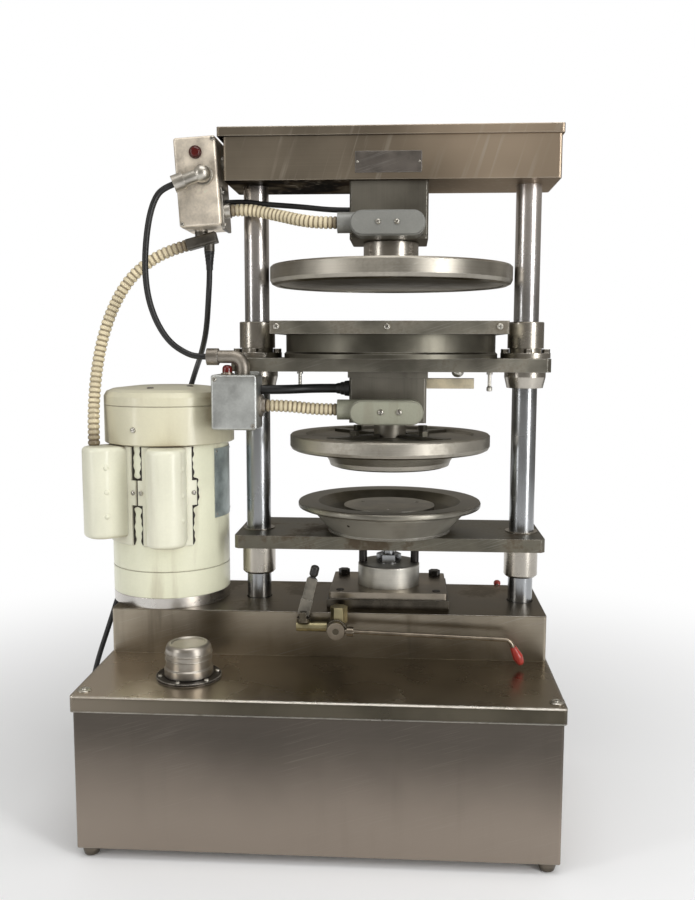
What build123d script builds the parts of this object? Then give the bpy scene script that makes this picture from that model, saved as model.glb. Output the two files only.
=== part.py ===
from build123d import *
import math
import os

os.makedirs("parts", exist_ok=True)

# A hydraulic press for tart shells. Millimetres, +Z up, the front faces -Y.
# The pieces are drawn from the middle of the base on the floor, then moved together at the end.

# Clearances
FIT = 0.05            # running and seated round fits, on the radius
SEAT = 0.3            # rest gap between pieces of different bodies
PASS = 1.5            # free passage round a piece that goes through sheet

# Base cabinet, lid and step
BASE_D = 370.0
SHEET = 3.0
CABINET_WALL = 2.0
CABINET_H = 213.0
CABINET_FLANGE = 18.0
LID_LIP = 22.0
FOOT_H = 15.0
FOOT_D = 24.0
FOOT_INSET = 7.0
STEP_H = 69.0
STEP_D = 183.0
STEP_INSET = 2.0
CORNER_R = 4.0

# Press column
HEAD_W = 491.0
POST_INSET = 38.0     # post axis from the crosshead's end
POST_FROM_END = 31.5  # post axis from the base's right end
PRESS_TO_BACK = 94.0
POST_D = 38.1
POST_SEAT = 34.0
BEAM_OVER = 24.5      # beam past the post axis
BEAM_D = 140.0
HEAD_D = 132.0
HEAD_H = 63.0
CAP_H = 13.0
CAP_OVERHANG = 3.0
CAP_OVER_LEFT = 9.0   # sheet cap past the crosshead's left end
STOP_D = 63.0
STOP_FOOT_D = 55.0
STOP_H = 25.0

# Hydraulic cylinder and ram
RISER_W = 186.0
RISER_D = 142.0
RISER_H = 15.0
CYL_PLATE_W = 180.0
CYL_PLATE_D = 132.0
CYL_PLATE_T = 10.0
BARREL_D = 92.0
BARREL_BORE = 63.5
BARREL_BELOW = 218.0
BARREL_END = 15.0
GLAND_D = 97.0
GLAND_H = 34.0
RAM_D = 38.0
PISTON_H = 30.0
RAM_HEX = 34.0
RAM_HEX_H = 12.0
RAM_STUD_D = 19.0
RAM_FLANGE_D = 74.0
RAM_FLANGE_T = 5.0
GLAND_SCREW_D = 13.0
GLAND_SCREW_H = 18.0
GLAND_SCREW_R = 41.0
GLAND_STEM_D = 4.0
PLATE_BOLT_D = 16.0
PLATE_BOLT_H = 9.0
PLATE_BOLT_INSET = 16.0
PLATE_FLUSH_D = 12.0  # flat screws at the plate's front
PLATE_FLUSH_H = 0.8

# Platens
LOWER_REST = 91.0     # lower plate above the step at rest
LOWER_OVER = 28.0     # plates past the post axis
MIDDLE_OVER = 30.5
PLATE_D = 134.0
LOWER_BACK = 91.0     # lower plate behind the post axes
PLATE_T = 20.0
PLATE_CORNER = 6.0
LOWER_BUSH_D = 52.0
LOWER_BUSH_H = 51.0
BUSH_SPIGOT_D = 46.0
BUSH_RING_D = 50.0
BUSH_RING_H = 1.5
COLLAR_D = 55.0
COLLAR_H = 40.0
COLLAR_NECK_D = 49.0
COLLAR_NECK_H = 7.0
COLLAR_FLANGE_D = 76.0
COLLAR_FLANGE_T = 8.0
COLLAR_BOLT_D = 11.0
COLLAR_BOLT_H = 6.0

# Lower tart mould
MOULD_RIM_D = 286.0
MOULD_RIM_T = 10.0
MOULD_BODY_TOP_D = 243.0
MOULD_BODY_FOOT_D = 192.0
MOULD_FOOT_BEAD = 1.5
MOULD_H = 48.0
MOULD_MOUTH_D = 224.0
MOULD_FLOOR_D = 178.0
MOULD_DEPTH = 29.0
DISC_D = 142.0
DISC_T = 6.0
DISC_HOLE_D = 8.0
DISC_HOLE_R = 50.0
DISC_LIFT = 21.0      # the ejector pins hold the disc up when the plate is down
EJECTOR_PIN_D = 6.0

# Middle forming die
LOWER_DAYLIGHT = 80.0
DIE_RIM_D = 311.0
DIE_RIM_T = 25.0
DIE_RIM_ROUND = 7.0
DIE_DISH_D = 262.0
DIE_DISH_DEPTH = 5.0
PLUG_TOP_D = 212.0
PLUG_FOOT_D = 190.0
PLUG_H = 26.0
PLUG_ROUND = 9.0
DIE_HUB_D = 50.0
DIE_HUB_H = 20.0
STRAP_COUNT = 4
STRAP_IN_R = 30.0
STRAP_OUT_R = 122.0
STRAP_W = 17.0
STRAP_T = 5.0
STRAP_BOLT_R = 74.0
STRAP_BOLT_D = 13.0
STRAP_BOLT_H = 8.0

# Heater housings and their conduit bodies
HOUSING_W = 116.0
HOUSING_D = 110.0
HOUSING_SHIFT_X = -2.5
HOUSING_CHAMFER = 3.0
MID_HOUSING_H = 68.0
HOUSING_COLLAR_H = 9.0
HOUSING_COLLAR_EXTRA = 2.0
UPPER_HOUSING_H = 84.0
HOUSING_FOOT_T = 5.0
BODY_LEN = 108.0
BODY_TALL = 36.0
BODY_DEEP = 44.0
BODY_COVER_T = 4.0
BODY_COVER_EDGE = 2.0
BODY_SHIFT_X = -3.5
MID_BODY_UP = 0.5     # body axis above the housing's foot, less half its height
UPPER_BODY_UP = 0.0
BODY_HUB_D = 30.0
BODY_HUB_LEN = 19.0
BODY_HUB_UP = 3.0
PROBE_LEN = 74.0
PROBE_TALL = 16.0
PROBE_THICK = 10.0
PROBE_DOWN = 11.0

# Pressing block with its plate, and the upper die
BLOCK_TO_FLANGE = 8.5  # block's side to the bearing flanges
BLOCK_LIP = 3.0
BLOCK_LIP_H = 8.0
BLOCK_H = 35.0
PRESS_PLATE_OVER = 4.0
PRESS_PLATE_T = 18.0
UPPER_DAYLIGHT = 56.0
DIE_TO_POST = 3.45
UPPER_DIE_T = 30.0
UPPER_DIE_ROUND = 8.0
UPPER_DIE_RECESS = 2.0
UPPER_DIE_EDGE = 14.0
DIE_COLLAR_H = 36.0
DIE_COLLAR_D = 84.0
DIE_COLLAR_EDGE = 1.0

# Motor, its covers and the gear pump below it
MOTOR_FROM_END = 74.0    # motor axis from the base's left end
MOTOR_TO_POST = 141.5
MOTOR_TO_BACK = 93.0
MOTOR_FLANGE_D = 184.0
MOTOR_FLANGE_T = 16.0
SHELL_D = 184.0
SHELL_H = 250.0
SHELL_BORE = 92.0
SHELL_END = 12.0
SHELL_SEAM_UP = 40.0
SHELL_SEAM = 1.2
COWL_D = 202.0
COWL_H = 88.0
COWL_WALL = 2.5
COWL_LAP = 16.0
COWL_DOME = 16.0
COWL_SEAM_DOWN = 30.0
COVER_W = 58.0
COVER_PROUD = 53.0
COVER_H = 146.0
COVER_ROUND = 26.0
COVER_UP = 86.0       # foot of the covers above the motor flange
LEFT_COVER_SHORT = 7.0   # the left pod ends higher than the front one
COVER_EAR_W = 88.0
COVER_EAR_H = 38.0
COVER_EAR_UP = 3.0    # ears above the covers' half height
COVER_EAR_T = 3.0
COVER_EDGE = 7.0
COVER_FLANGE_W = 74.0
COVER_FLANGE_DROP = 5.0
COVER_ENTRY_OUT = 29.0   # where the motor conduit enters the left cover's top
COVER_ENTRY_SIDE = -17.0
LEFT_COVER_TURN = 223.0
FRONT_COVER_TURN = 280.5
SHAFT_D = 19.0
ROTOR_GAP = 0.6
ROTOR_H = 150.0
FAN_D = 170.0
FAN_H = 26.0
FAN_HUB_D = 46.0
FAN_BLADES = 8
FAN_BLADE_T = 3.0
GEAR_MODULE = 4.0
GEAR_TEETH = 10
GEAR_FACE = 30.0
GEAR_TIP_HALF = 1.2
GEAR_ROOT_HALF = 3.4
GEAR_POCKET_GAP = 0.3
PUMP_MARGIN = 12.0
PUMP_TOP_T = 20.0
PUMP_FOOT_T = 15.0
JOURNAL_D = 14.0
STRAINER_D = 46.0
STRAINER_H = 60.0
STRAINER_PIPE_D = 14.0
STRAINER_DROP = 58.0
PIPE_D = 10.0
PIPE_BEND = 18.0

# Filler neck and cap on the lid
FILLER_FROM_END = 143.0
FILLER_FROM_FRONT = 88.0
FILLER_FLANGE_D = 92.0
FILLER_FLANGE_T = 4.0
NECK_D = 58.0
NECK_BORE = 50.0
NECK_UP = 22.0
NECK_DOWN = 30.0
CAP_SKIRT_D = 69.0
CAP_TOP_D = 60.0
CAP_SIDE_D = 65.0
CAP_DISH_D = 49.0
CAP_DISH = 2.0
CAP_BAND_H = 12.0
CAP_TALL = 46.0
CAP_HOLLOW_H = 22.0
CAP_LIFT_GAP = 2.0

# Control valve, its lever and the hand lever
VALVE_SIDE = 75.0      # valve axis left of the press axis
VALVE_UP = 51.0    # valve axis above the lid
VALVE_D = 29.0
VALVE_LEN = 28.0
VALVE_SPIGOT_D = 16.0
VALVE_PIN_D = 10.0
LEVER_HUB_D = 26.0
LEVER_HUB_T = 10.0
LEVER_ROD_D = 6.4
LEVER_NUT_D = 14.0
LEVER_NUT_X = 16.0
LEVER_NUT_LEN = 10.0
LEVER_REACH = 254.0
LEVER_SLOPE = 1.8     # degrees down from the hub to the bend
LEVER_BEND = 12.0
LEVER_TIP_TURN = 62.0
LEVER_TIP = 26.0
GRIP_D = 15.0
GRIP_LEN = 28.0
NIPPLE_D = 15.0
NIPPLE_LEN = 46.0
BRASS_HEX = 22.0
BRASS_HEX_H = 24.0
BRASS_HEX_SIDE = 3.0
HAND_SIDE = 125.0    # lever pin left of the press axis
HAND_OUT = 13.0      # lever plane before the step's front
HAND_BASE_D = 21.0
HAND_BASE_H = 6.0
HAND_PIN_D = 5.0
HAND_BLOCK_W = 18.0
HAND_BLOCK_H = 24.0
HAND_BLOCK_T = 12.0
HAND_EAR_T = 4.0
HAND_ARM = 68.0
HAND_ARM_W = 16.0
HAND_ARM_T = 7.0
HAND_LEAN = 14.0
HAND_KNOB_D = 13.0
HAND_KNOB_H = 18.0
HAND_NECK_D = 6.0

# Junction boxes, lamps and their fittings
UPPER_BOX = (63.0, 85.0, 130.0)
UPPER_BOX_OUT = 40.5      # box centre past the crosshead's end
UPPER_BOX_FRONT = 60.0     # box front before the press axis
UPPER_BOX_MID_UP = 0.0     # box centre above the crosshead's underside
UPPER_BOX_TILT = -3.6
BOX_ROUND = 4.0
LAMP_D = 15.0
LAMP_RING_D = 19.0
LAMP_RING_T = 2.0
UPPER_LAMP_H = 4.0
LOWER_LAMP_H = 12.0
UPPER_LAMP_SIDE = 1.0
UPPER_LAMP_UP = 42.0
CONNECTOR_D = 19.0
CONNECTOR_NUT_D = 25.0
CONNECTOR_NUT_LEN = 17.0
CONNECTOR_BASE_D = 29.0
CONNECTOR_BASE_T = 7.0
CONNECTOR_BALL_D = 26.0
UPPER_CONN_SIDE = 11.0
UPPER_CONN_UP = 8.0
SIDE_PLATE_T = 4.0
SIDE_PLATE_D = 54.0
SIDE_PLATE_H = 62.0
SIDE_PLATE_DROP = 6.0
SIDE_PLATE_IN = 4.0
SIDE_NUT_LEN = 9.0
SIDE_NUT_FORWARD = 14.0
SIDE_NUT_DOWN = 3.0
SIDE_LEAD_FORWARD = 2.0
SIDE_LEAD_UP = 11.0
ELBOW_LEN = 46.0
ELBOW_TALL = 17.0
ELBOW_DEEP = 22.0
ELBOW_DROP = 8.0
ELBOW_TILT = -15.0
ELBOW_SIDE = -8.0
GRIP_NUT_D = 16.0
GRIP_NUT_LEN = 10.0
NIPPLE_TO_HEAD_D = 20.0
LOWER_BOX = (68.0, 56.0, 81.0)
LOWER_BOX_IN = 12.0      # box centre in from the plate's end
LOWER_BOX_BEHIND_FRONT = 14.0   # how far the box reaches under the middle plate
LOWER_BOX_GAP = 4.0             # packing strip between plate and box
LOWER_LAMP_SIDE = -14.0
LOWER_ELBOW_SIDE = 10.0
LOWER_ELBOW_RISE = 26.0
LOWER_ELBOW_BEND = 16.0
LOWER_ELBOW_REACH = 44.0
ROUND_PLATE_D = 34.0
ROUND_PLATE_DOWN = 46.0
ROUND_PLATE_T = 4.0
CONDUIT_NUT_D = 22.0
CONDUIT_NUT_LEN = 5.0

# Cables and ribbed conduits
CORD_D = 9.0
LEAD_D = 8.0
THICK_LEAD_D = 14.0
MID_LEAD_DOWN = 23.0
LEAD_OVER = 3.0       # heater leads above the conduit hubs
BOOT_D = 24.0
BOOT_LEN = 20.0
CORD_SHARE = 0.45
CORD_LEAD = 17.5      # straight part where a cord meets a fitting
MAINS_LEAD = 34.0
HEATER_LEAD = 26.0
THICK_LEAD = 34.0
UPPER_CONDUIT_LEAD = 25.0
MID_CONDUIT_LEAD = 32.0
MOTOR_CONDUIT_LEAD = 26.0
CONDUIT_CREST = 18.0
CONDUIT_ROOT = 15.0
CONDUIT_BORE = 11.0
MOTOR_RIBS = 40
UPPER_RIBS = 22
MID_RIBS = 13
RIB_SHAPE = ((0.10, CONDUIT_ROOT), (0.30, CONDUIT_CREST), (0.70, CONDUIT_CREST), (0.90, CONDUIT_ROOT))
COIL_FROM_END = 141.0
COIL_BEHIND = 83.0
COIL_LEAD = 50.0
COIL_TAIL = 48.0
COIL_MEAN_R = 50.0
COIL_TURNS = 4
COIL_GAP = 0.7
PLUG_BODY = (34.0, 28.0, 46.0)
PLUG_RELIEF_LEN = 22.0
PLUG_RELIEF_D = 14.0
BLADE = (1.6, 6.4, 17.0)
BLADE_GAP = 12.7
BLADE_UP = 4.0
EARTH_PIN_D = 4.8
EARTH_PIN_DOWN = 11.9

BASE = (Align.CENTER, Align.CENTER, Align.MIN)

# Levels that follow from the sizes above
post_spacing = HEAD_W - 2 * POST_INSET
base_w = MOTOR_FROM_END + MOTOR_TO_POST + post_spacing + POST_FROM_END
motor_x = MOTOR_FROM_END - base_w / 2
press_x = motor_x + MOTOR_TO_POST + post_spacing / 2
press_y = BASE_D / 2 - PRESS_TO_BACK
post_xs = (press_x - post_spacing / 2, press_x + post_spacing / 2)
beam_w = post_spacing + 2 * BEAM_OVER
lower_w = post_spacing + 2 * LOWER_OVER
middle_w = post_spacing + 2 * MIDDLE_OVER
block_d = post_spacing - COLLAR_FLANGE_D - 2 * BLOCK_TO_FLANGE
upper_die_d = post_spacing - POST_D - 2 * DIE_TO_POST
ejector_xs = (press_x - GLAND_SCREW_R, press_x + GLAND_SCREW_R)
filler_x = FILLER_FROM_END - base_w / 2
filler_y = FILLER_FROM_FRONT - BASE_D / 2
valve_x = press_x - VALVE_SIDE
hand_x = press_x - HAND_SIDE
upper_box_x = press_x - HEAD_W / 2 - UPPER_BOX_OUT
lower_box_x = press_x - middle_w / 2 + LOWER_BOX_IN
lower_elbow_end_x = lower_box_x - LOWER_ELBOW_REACH
coil_x = COIL_FROM_END - base_w / 2
z_cabinet_top = FOOT_H + CABINET_H
z_lid = z_cabinet_top + SHEET
z_step = z_lid + STEP_H
step_back = BASE_D / 2 - STEP_INSET
step_front = step_back - STEP_D
z_riser = z_step + RISER_H
z_cyl_plate = z_riser + CYL_PLATE_T
z_gland = z_cyl_plate + GLAND_H
z_barrel_foot = z_riser - BARREL_BELOW
z_lower = z_step + LOWER_REST
z_mould = z_lower + PLATE_T
z_mould_top = z_mould + MOULD_H
z_mould_floor = z_mould_top - MOULD_DEPTH
z_die = z_mould_top + LOWER_DAYLIGHT
z_die_top = z_die + DIE_RIM_T
z_mid_housing = z_die_top + DIE_HUB_H
z_middle = z_mid_housing + MID_HOUSING_H + HOUSING_COLLAR_H
z_block = z_middle + PLATE_T
z_press_plate = z_block + BLOCK_H
z_press_top = z_press_plate + PRESS_PLATE_T
z_upper_die = z_press_top + UPPER_DAYLIGHT
z_upper_die_top = z_upper_die + UPPER_DIE_T
z_upper_housing = z_upper_die_top + DIE_COLLAR_H
z_head = z_upper_housing + UPPER_HOUSING_H
z_head_top = z_head + HEAD_H
z_cap = z_head_top + CAP_H
z_post_foot = z_step - SHEET - POST_SEAT
motor_y = BASE_D / 2 - MOTOR_TO_BACK
z_shell = z_step + MOTOR_FLANGE_T
z_shell_top = z_shell + SHELL_H
z_cowl = z_shell_top - COWL_LAP
z_pump = z_cabinet_top - PUMP_TOP_T
z_gear = z_pump - GEAR_FACE
z_pump_foot = z_gear - PUMP_FOOT_T
gear_pitch_r = GEAR_MODULE * GEAR_TEETH / 2
gear_tip_r = gear_pitch_r + GEAR_MODULE
gear_root_r = gear_pitch_r - 1.2 * GEAR_MODULE
driven_y = motor_y - 2 * gear_pitch_r
housing_front = press_y - HOUSING_D / 2
housing_x = press_x + HOUSING_SHIFT_X
housing_left = housing_x - HOUSING_W / 2
body_left = press_x + BODY_SHIFT_X - BODY_LEN / 2
body_y = housing_front - BODY_DEEP / 2
z_mid_body = z_mid_housing + MID_BODY_UP + BODY_TALL / 2
z_upper_body = z_upper_housing + UPPER_BODY_UP + BODY_TALL / 2
middle_front = press_y - PLATE_D / 2
lower_box_back = middle_front + LOWER_BOX_BEHIND_FRONT
lower_box_y = lower_box_back - LOWER_BOX[1] / 2
z_lower_box = z_middle - LOWER_BOX_GAP
lower_fit_y = middle_front - CONNECTOR_NUT_D / 2 - PASS
valve_y = step_front - VALVE_LEN
coil_y = BASE_D / 2 + COIL_BEHIND
lever_y = valve_y - SEAT - LEVER_HUB_T / 2
z_valve = z_lid + VALVE_UP
z_hand = z_valve + NIPPLE_D / 2 + HAND_BASE_H
hand_y = step_front - HAND_OUT


def rod(d, z0, z1, x=press_x, y=press_y):
    return Pos(x, y, z0) * Cylinder(d / 2, z1 - z0, align=BASE)


def ring(d, bore, z0, z1, x=press_x, y=press_y):
    return rod(d, z0, z1, x, y) - rod(bore, z0, z1, x, y)


def rod_x(d, x0, x1, y, z):
    return Pos(x0, y, z) * Rot(0, 90, 0) * Cylinder(d / 2, x1 - x0, align=BASE)


def rod_y(d, y0, y1, x, z):
    return Pos(x, y0, z) * Rot(-90, 0, 0) * Cylinder(d / 2, y1 - y0, align=BASE)


def block(x0, x1, y0, y1, z0, z1):
    return Pos((x0 + x1) / 2, (y0 + y1) / 2, z0) * Box(x1 - x0, y1 - y0, z1 - z0, align=BASE)


def centred(w, d, z0, z1, x=press_x, y=press_y):
    return block(x - w / 2, x + w / 2, y - d / 2, y + d / 2, z0, z1)


def hexagon(flats, z0, z1, x, y):
    across = RegularPolygon(flats / 2, 6, major_radius=False)
    return Pos(x, y, z0) * extrude(across, z1 - z0)


def turned(outline, x=press_x, y=press_y):
    """Turn a closed outline of (radius, height) points round a vertical axis."""
    face = make_face(Polyline(*outline, close=True))
    return Pos(x, y, 0) * revolve(Plane.XZ * face, Axis.Z)


def upright(solid):
    return solid.edges().filter_by(Axis.Z)


def group(pieces):
    return Compound(list(pieces))


def tray(w, d, z0, z1, wall, x, y):
    """A sheet tray with its open side down."""
    outside = centred(w, d, z0, z1, x, y)
    inside = centred(w - 2 * wall, d - 2 * wall, z0, z1 - wall, x, y)
    return fillet(upright(outside), CORNER_R) - inside


# Base
def tank_cabinet():
    w = base_w - 2 * (SHEET + FIT)
    d = BASE_D - 2 * (SHEET + FIT)
    outside = fillet(upright(centred(w, d, FOOT_H, z_cabinet_top, 0, 0)), CORNER_R)
    inner_w = w - 2 * CABINET_WALL
    inner_d = d - 2 * CABINET_WALL
    z_flange = z_cabinet_top - CABINET_WALL
    inside = centred(inner_w, inner_d, FOOT_H + CABINET_WALL, z_flange, 0, 0)
    mouth = centred(inner_w - 2 * CABINET_FLANGE, inner_d - 2 * CABINET_FLANGE, z_flange, z_cabinet_top, 0, 0)
    return outside - inside - mouth


def tank_lid():
    lid = tray(base_w, BASE_D, z_lid - LID_LIP, z_lid, SHEET, 0, 0)
    lid -= rod(BARREL_D + 2 * PASS, z_cabinet_top, z_lid)
    lid -= rod(SHAFT_D + 2 * PASS, z_cabinet_top, z_lid, motor_x, motor_y)
    lid -= rod(NECK_D + 2 * FIT, z_cabinet_top, z_lid, filler_x, filler_y)
    return lid - rod(PIPE_D + 2 * PASS, z_cabinet_top, z_lid, valve_x, pipe_y())


def levelling_feet():
    xs = (FOOT_INSET - base_w / 2 + FOOT_D / 2, base_w / 2 - FOOT_INSET - FOOT_D / 2)
    ys = (FOOT_INSET - BASE_D / 2 + FOOT_D / 2, BASE_D / 2 - FOOT_INSET - FOOT_D / 2)
    r = FOOT_D / 2
    outline = [(0, 0), (r - 4, 0), (r - 2, 1), (r - 1, FOOT_H / 4), (r, FOOT_H / 2), (r, FOOT_H), (0, FOOT_H)]
    return group(turned(outline, x, y) for x in xs for y in ys)


def step_housing():
    step = tray(base_w - 2 * STEP_INSET, STEP_D, z_lid, z_step, SHEET, 0, (step_front + step_back) / 2)
    for x in post_xs:
        step -= rod(POST_D + 2 * PASS, z_step - SHEET, z_step, x)
    step -= rod(BARREL_D + 2 * PASS, z_step - SHEET, z_step)
    step -= rod(SHAFT_D + 2 * PASS, z_step - SHEET, z_step, motor_x, motor_y)
    return step - rod_y(VALVE_SPIGOT_D + 2 * FIT, step_front, step_front + SHEET, valve_x, z_valve)


def base_beam():
    beam = centred(beam_w, BEAM_D, z_lid, z_step - SHEET)
    for x in post_xs:
        beam -= rod(POST_D + 2 * FIT, z_post_foot, z_step - SHEET, x)
    return beam - rod(BARREL_D + 2 * FIT, z_lid, z_step - SHEET)


def filler_neck():
    flange = ring(FILLER_FLANGE_D, NECK_BORE, z_lid, z_lid + FILLER_FLANGE_T, filler_x, filler_y)
    neck = ring(NECK_D, NECK_BORE, z_lid - NECK_DOWN, z_lid + NECK_UP, filler_x, filler_y)
    return flange + neck


def filler_cap():
    """A hollow cap with a band round its foot, a rounded shoulder and a shallow dish on top."""
    z0 = z_lid + FILLER_FLANGE_T + SEAT
    z_top = z0 + CAP_TALL
    r_in = NECK_D / 2 + CAP_LIFT_GAP
    r_band = CAP_SKIRT_D / 2
    r_side = CAP_SIDE_D / 2
    r_top = CAP_TOP_D / 2
    outline = [(r_in, z0), (r_band - 1, z0), (r_band, z0 + 1), (r_band, z0 + CAP_BAND_H - 1),
               (r_side, z0 + CAP_BAND_H + 1), (r_side, z_top - 11), (r_side - 0.7, z_top - 6),
               (r_top, z_top - 2.5), (r_top - 2, z_top - 0.6), (r_top - 4, z_top), (CAP_DISH_D / 2, z_top),
               (CAP_DISH_D / 2 - CAP_DISH, z_top - CAP_DISH), (0, z_top - CAP_DISH),
               (0, z0 + CAP_HOLLOW_H), (r_in, z0 + CAP_HOLLOW_H)]
    return turned(outline, filler_x, filler_y)


# Press column
def guide_posts():
    posts = []
    for x in post_xs:
        post = rod(POST_D, z_post_foot, z_cap - SHEET, x)
        posts.append(chamfer(post.edges().filter_by(GeomType.CIRCLE), 2))
    return group(posts)


def post_stop_collars():
    collars = []
    z_top = z_middle - SEAT
    for x in post_xs:
        outline = [(POST_D / 2 + FIT, z_top - STOP_H), (STOP_FOOT_D / 2, z_top - STOP_H),
                   (STOP_D / 2, z_top - STOP_H / 3), (STOP_D / 2, z_top), (POST_D / 2 + FIT, z_top)]
        collars.append(turned(outline, x))
    return group(collars)


def crosshead_beam():
    beam = fillet(upright(centred(HEAD_W, HEAD_D, z_head, z_head_top)), CORNER_R)
    for x in post_xs:
        beam -= rod(POST_D + 2 * FIT, z_head, z_head_top, x)
    return beam


def crosshead_cap():
    w = HEAD_W + CAP_OVER_LEFT + CAP_OVERHANG
    d = HEAD_D + 2 * CAP_OVERHANG
    x = press_x + (CAP_OVERHANG - CAP_OVER_LEFT) / 2
    return tray(w, d, z_head_top, z_cap, SHEET, x, press_y)


# Hydraulic cylinder
def hydraulic_cylinder():
    plate = fillet(upright(centred(CYL_PLATE_W, CYL_PLATE_D, z_riser, z_cyl_plate)), CORNER_R)
    riser = centred(RISER_W, RISER_D, z_step, z_riser)
    barrel = rod(BARREL_D, z_barrel_foot, z_riser)
    return plate + riser + barrel - rod(BARREL_BORE, z_barrel_foot + BARREL_END, z_cyl_plate)


def cylinder_gland():
    gland = ring(GLAND_D, RAM_D + 2 * FIT, z_cyl_plate, z_gland)
    return fillet(gland.edges().group_by(Axis.Z)[-1].sort_by(SortBy.RADIUS)[-1], 3)


def cylinder_screws():
    screws = []
    z_stud = z_gland + GLAND_SCREW_H
    for x in ejector_xs:
        stem = rod(GLAND_STEM_D, z_stud, z_lower - SEAT, x)
        screws.append(rod(GLAND_SCREW_D, z_gland, z_stud, x) + stem)
    reach_y = CYL_PLATE_D / 2 - PLATE_BOLT_INSET
    for side in (-1, 1):
        x = press_x + side * (CYL_PLATE_W / 2 - PLATE_BOLT_INSET)
        screws.append(hexagon(PLATE_BOLT_D, z_cyl_plate, z_cyl_plate + PLATE_BOLT_H, x, press_y + reach_y))
        screws.append(rod(PLATE_FLUSH_D, z_cyl_plate, z_cyl_plate + PLATE_FLUSH_H, x, press_y - reach_y))
    return group(screws)


def ram():
    z_foot = z_barrel_foot + BARREL_END + PASS
    z_rod = z_gland + PASS
    z_hex = z_rod + RAM_HEX_H
    piston = rod(BARREL_BORE - 2 * FIT, z_foot, z_foot + PISTON_H)
    shaft = rod(RAM_D, z_foot + PISTON_H, z_rod)
    nut = hexagon(RAM_HEX, z_rod, z_hex, press_x, press_y)
    stud = rod(RAM_STUD_D, z_hex, z_lower - RAM_FLANGE_T)
    return piston + shaft + nut + stud + rod(RAM_FLANGE_D, z_lower - RAM_FLANGE_T, z_lower)


# Platens and their bearings
def platen(w, z0, back):
    plate = block(press_x - w / 2, press_x + w / 2, middle_front, press_y + back, z0, z0 + PLATE_T)
    plate = chamfer(upright(plate), PLATE_CORNER)
    for x in post_xs:
        plate -= rod(BUSH_SPIGOT_D + 2 * FIT, z0, z0 + PLATE_T, x)
    return plate


def lower_plate():
    plate = platen(lower_w, z_lower, LOWER_BACK)
    for x in ejector_xs:
        plate -= rod(EJECTOR_PIN_D + 2 * FIT, z_lower, z_mould, x)
    return plate


def lower_bearings():
    bushes = []
    r_bore = POST_D / 2 + FIT
    z_foot = z_lower - LOWER_BUSH_H
    z_top = z_lower + PLATE_T
    for x in post_xs:
        outline = [(r_bore, z_foot), (LOWER_BUSH_D / 2 - 3, z_foot), (LOWER_BUSH_D / 2, z_foot + 3),
                   (LOWER_BUSH_D / 2, z_lower), (BUSH_SPIGOT_D / 2, z_lower), (BUSH_SPIGOT_D / 2, z_top),
                   (BUSH_RING_D / 2, z_top), (BUSH_RING_D / 2, z_top + BUSH_RING_H),
                   (r_bore, z_top + BUSH_RING_H)]
        bushes.append(turned(outline, x))
    return group(bushes)


def middle_plate():
    return platen(middle_w, z_middle, PLATE_D / 2)


def middle_bearings():
    bearings = []
    r_bore = POST_D / 2 + FIT
    z_flange = z_block + COLLAR_FLANGE_T
    z_neck = z_flange + COLLAR_NECK_H
    z_top = z_neck + COLLAR_H
    bolt_r = (COLLAR_FLANGE_D + COLLAR_NECK_D) / 4
    for x in post_xs:
        outline = [(r_bore, z_middle), (BUSH_SPIGOT_D / 2, z_middle), (BUSH_SPIGOT_D / 2, z_block),
                   (COLLAR_FLANGE_D / 2, z_block), (COLLAR_FLANGE_D / 2, z_flange),
                   (COLLAR_NECK_D / 2, z_flange),
                   (COLLAR_NECK_D / 2, z_neck), (COLLAR_D / 2, z_neck), (COLLAR_D / 2, z_top - 1),
                   (COLLAR_D / 2 - 1, z_top), (r_bore, z_top)]
        bearing = turned(outline, x)
        for turn in (0, 90, 180, 270):
            bx = x + bolt_r * math.cos(math.radians(turn))
            by = press_y + bolt_r * math.sin(math.radians(turn))
            bearing += hexagon(COLLAR_BOLT_D, z_flange, z_flange + COLLAR_BOLT_H, bx, by)
        bearings.append(bearing)
    return group(bearings)


# Dies and moulds
def lower_mould():
    """A round mould with a thick lip, a tapered body and a floor that takes the ejector disc."""
    z_rim = z_mould_top - MOULD_RIM_T
    r_foot = MOULD_BODY_FOOT_D / 2
    r_rim = MOULD_RIM_D / 2
    r_seat = DISC_D / 2 + FIT
    z_seat = z_mould_floor - DISC_T
    bead = MOULD_FOOT_BEAD
    outline = [(0, z_mould), (r_foot, z_mould), (r_foot, z_mould + bead), (r_foot - bead, z_mould + 2 * bead),
               (MOULD_BODY_TOP_D / 2 - bead, z_rim - 6), (MOULD_BODY_TOP_D / 2, z_rim - 5),
               (MOULD_BODY_TOP_D / 2, z_rim), (r_rim - 3, z_rim), (r_rim - 1, z_rim + 1), (r_rim, z_rim + 3),
               (r_rim, z_mould_top - 3), (r_rim - 1, z_mould_top - 1), (r_rim - 3, z_mould_top),
               (MOULD_MOUTH_D / 2, z_mould_top - 1), (MOULD_FLOOR_D / 2 + 4, z_mould_floor + 3),
               (MOULD_FLOOR_D / 2 - 4, z_mould_floor), (r_seat, z_mould_floor), (r_seat, z_seat), (0, z_seat)]
    mould = turned(outline)
    for x in ejector_xs:
        mould -= rod(EJECTOR_PIN_D + 2 * FIT, z_mould, z_seat, x)
    return mould


def mould_floor_disc():
    """The ejector disc on its two pins, held up by the fixed studs while the plate is down."""
    z_top = z_mould_floor + DISC_LIFT
    disc = rod(DISC_D, z_top - DISC_T, z_top)
    for turn in (30, 150, 270):
        x = press_x + DISC_HOLE_R * math.cos(math.radians(turn))
        y = press_y + DISC_HOLE_R * math.sin(math.radians(turn))
        disc -= rod(DISC_HOLE_D, z_top - DISC_T, z_top, x, y)
    for x in ejector_xs:
        disc += rod(EJECTOR_PIN_D, z_lower, z_top - DISC_T, x)
    return disc


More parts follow.
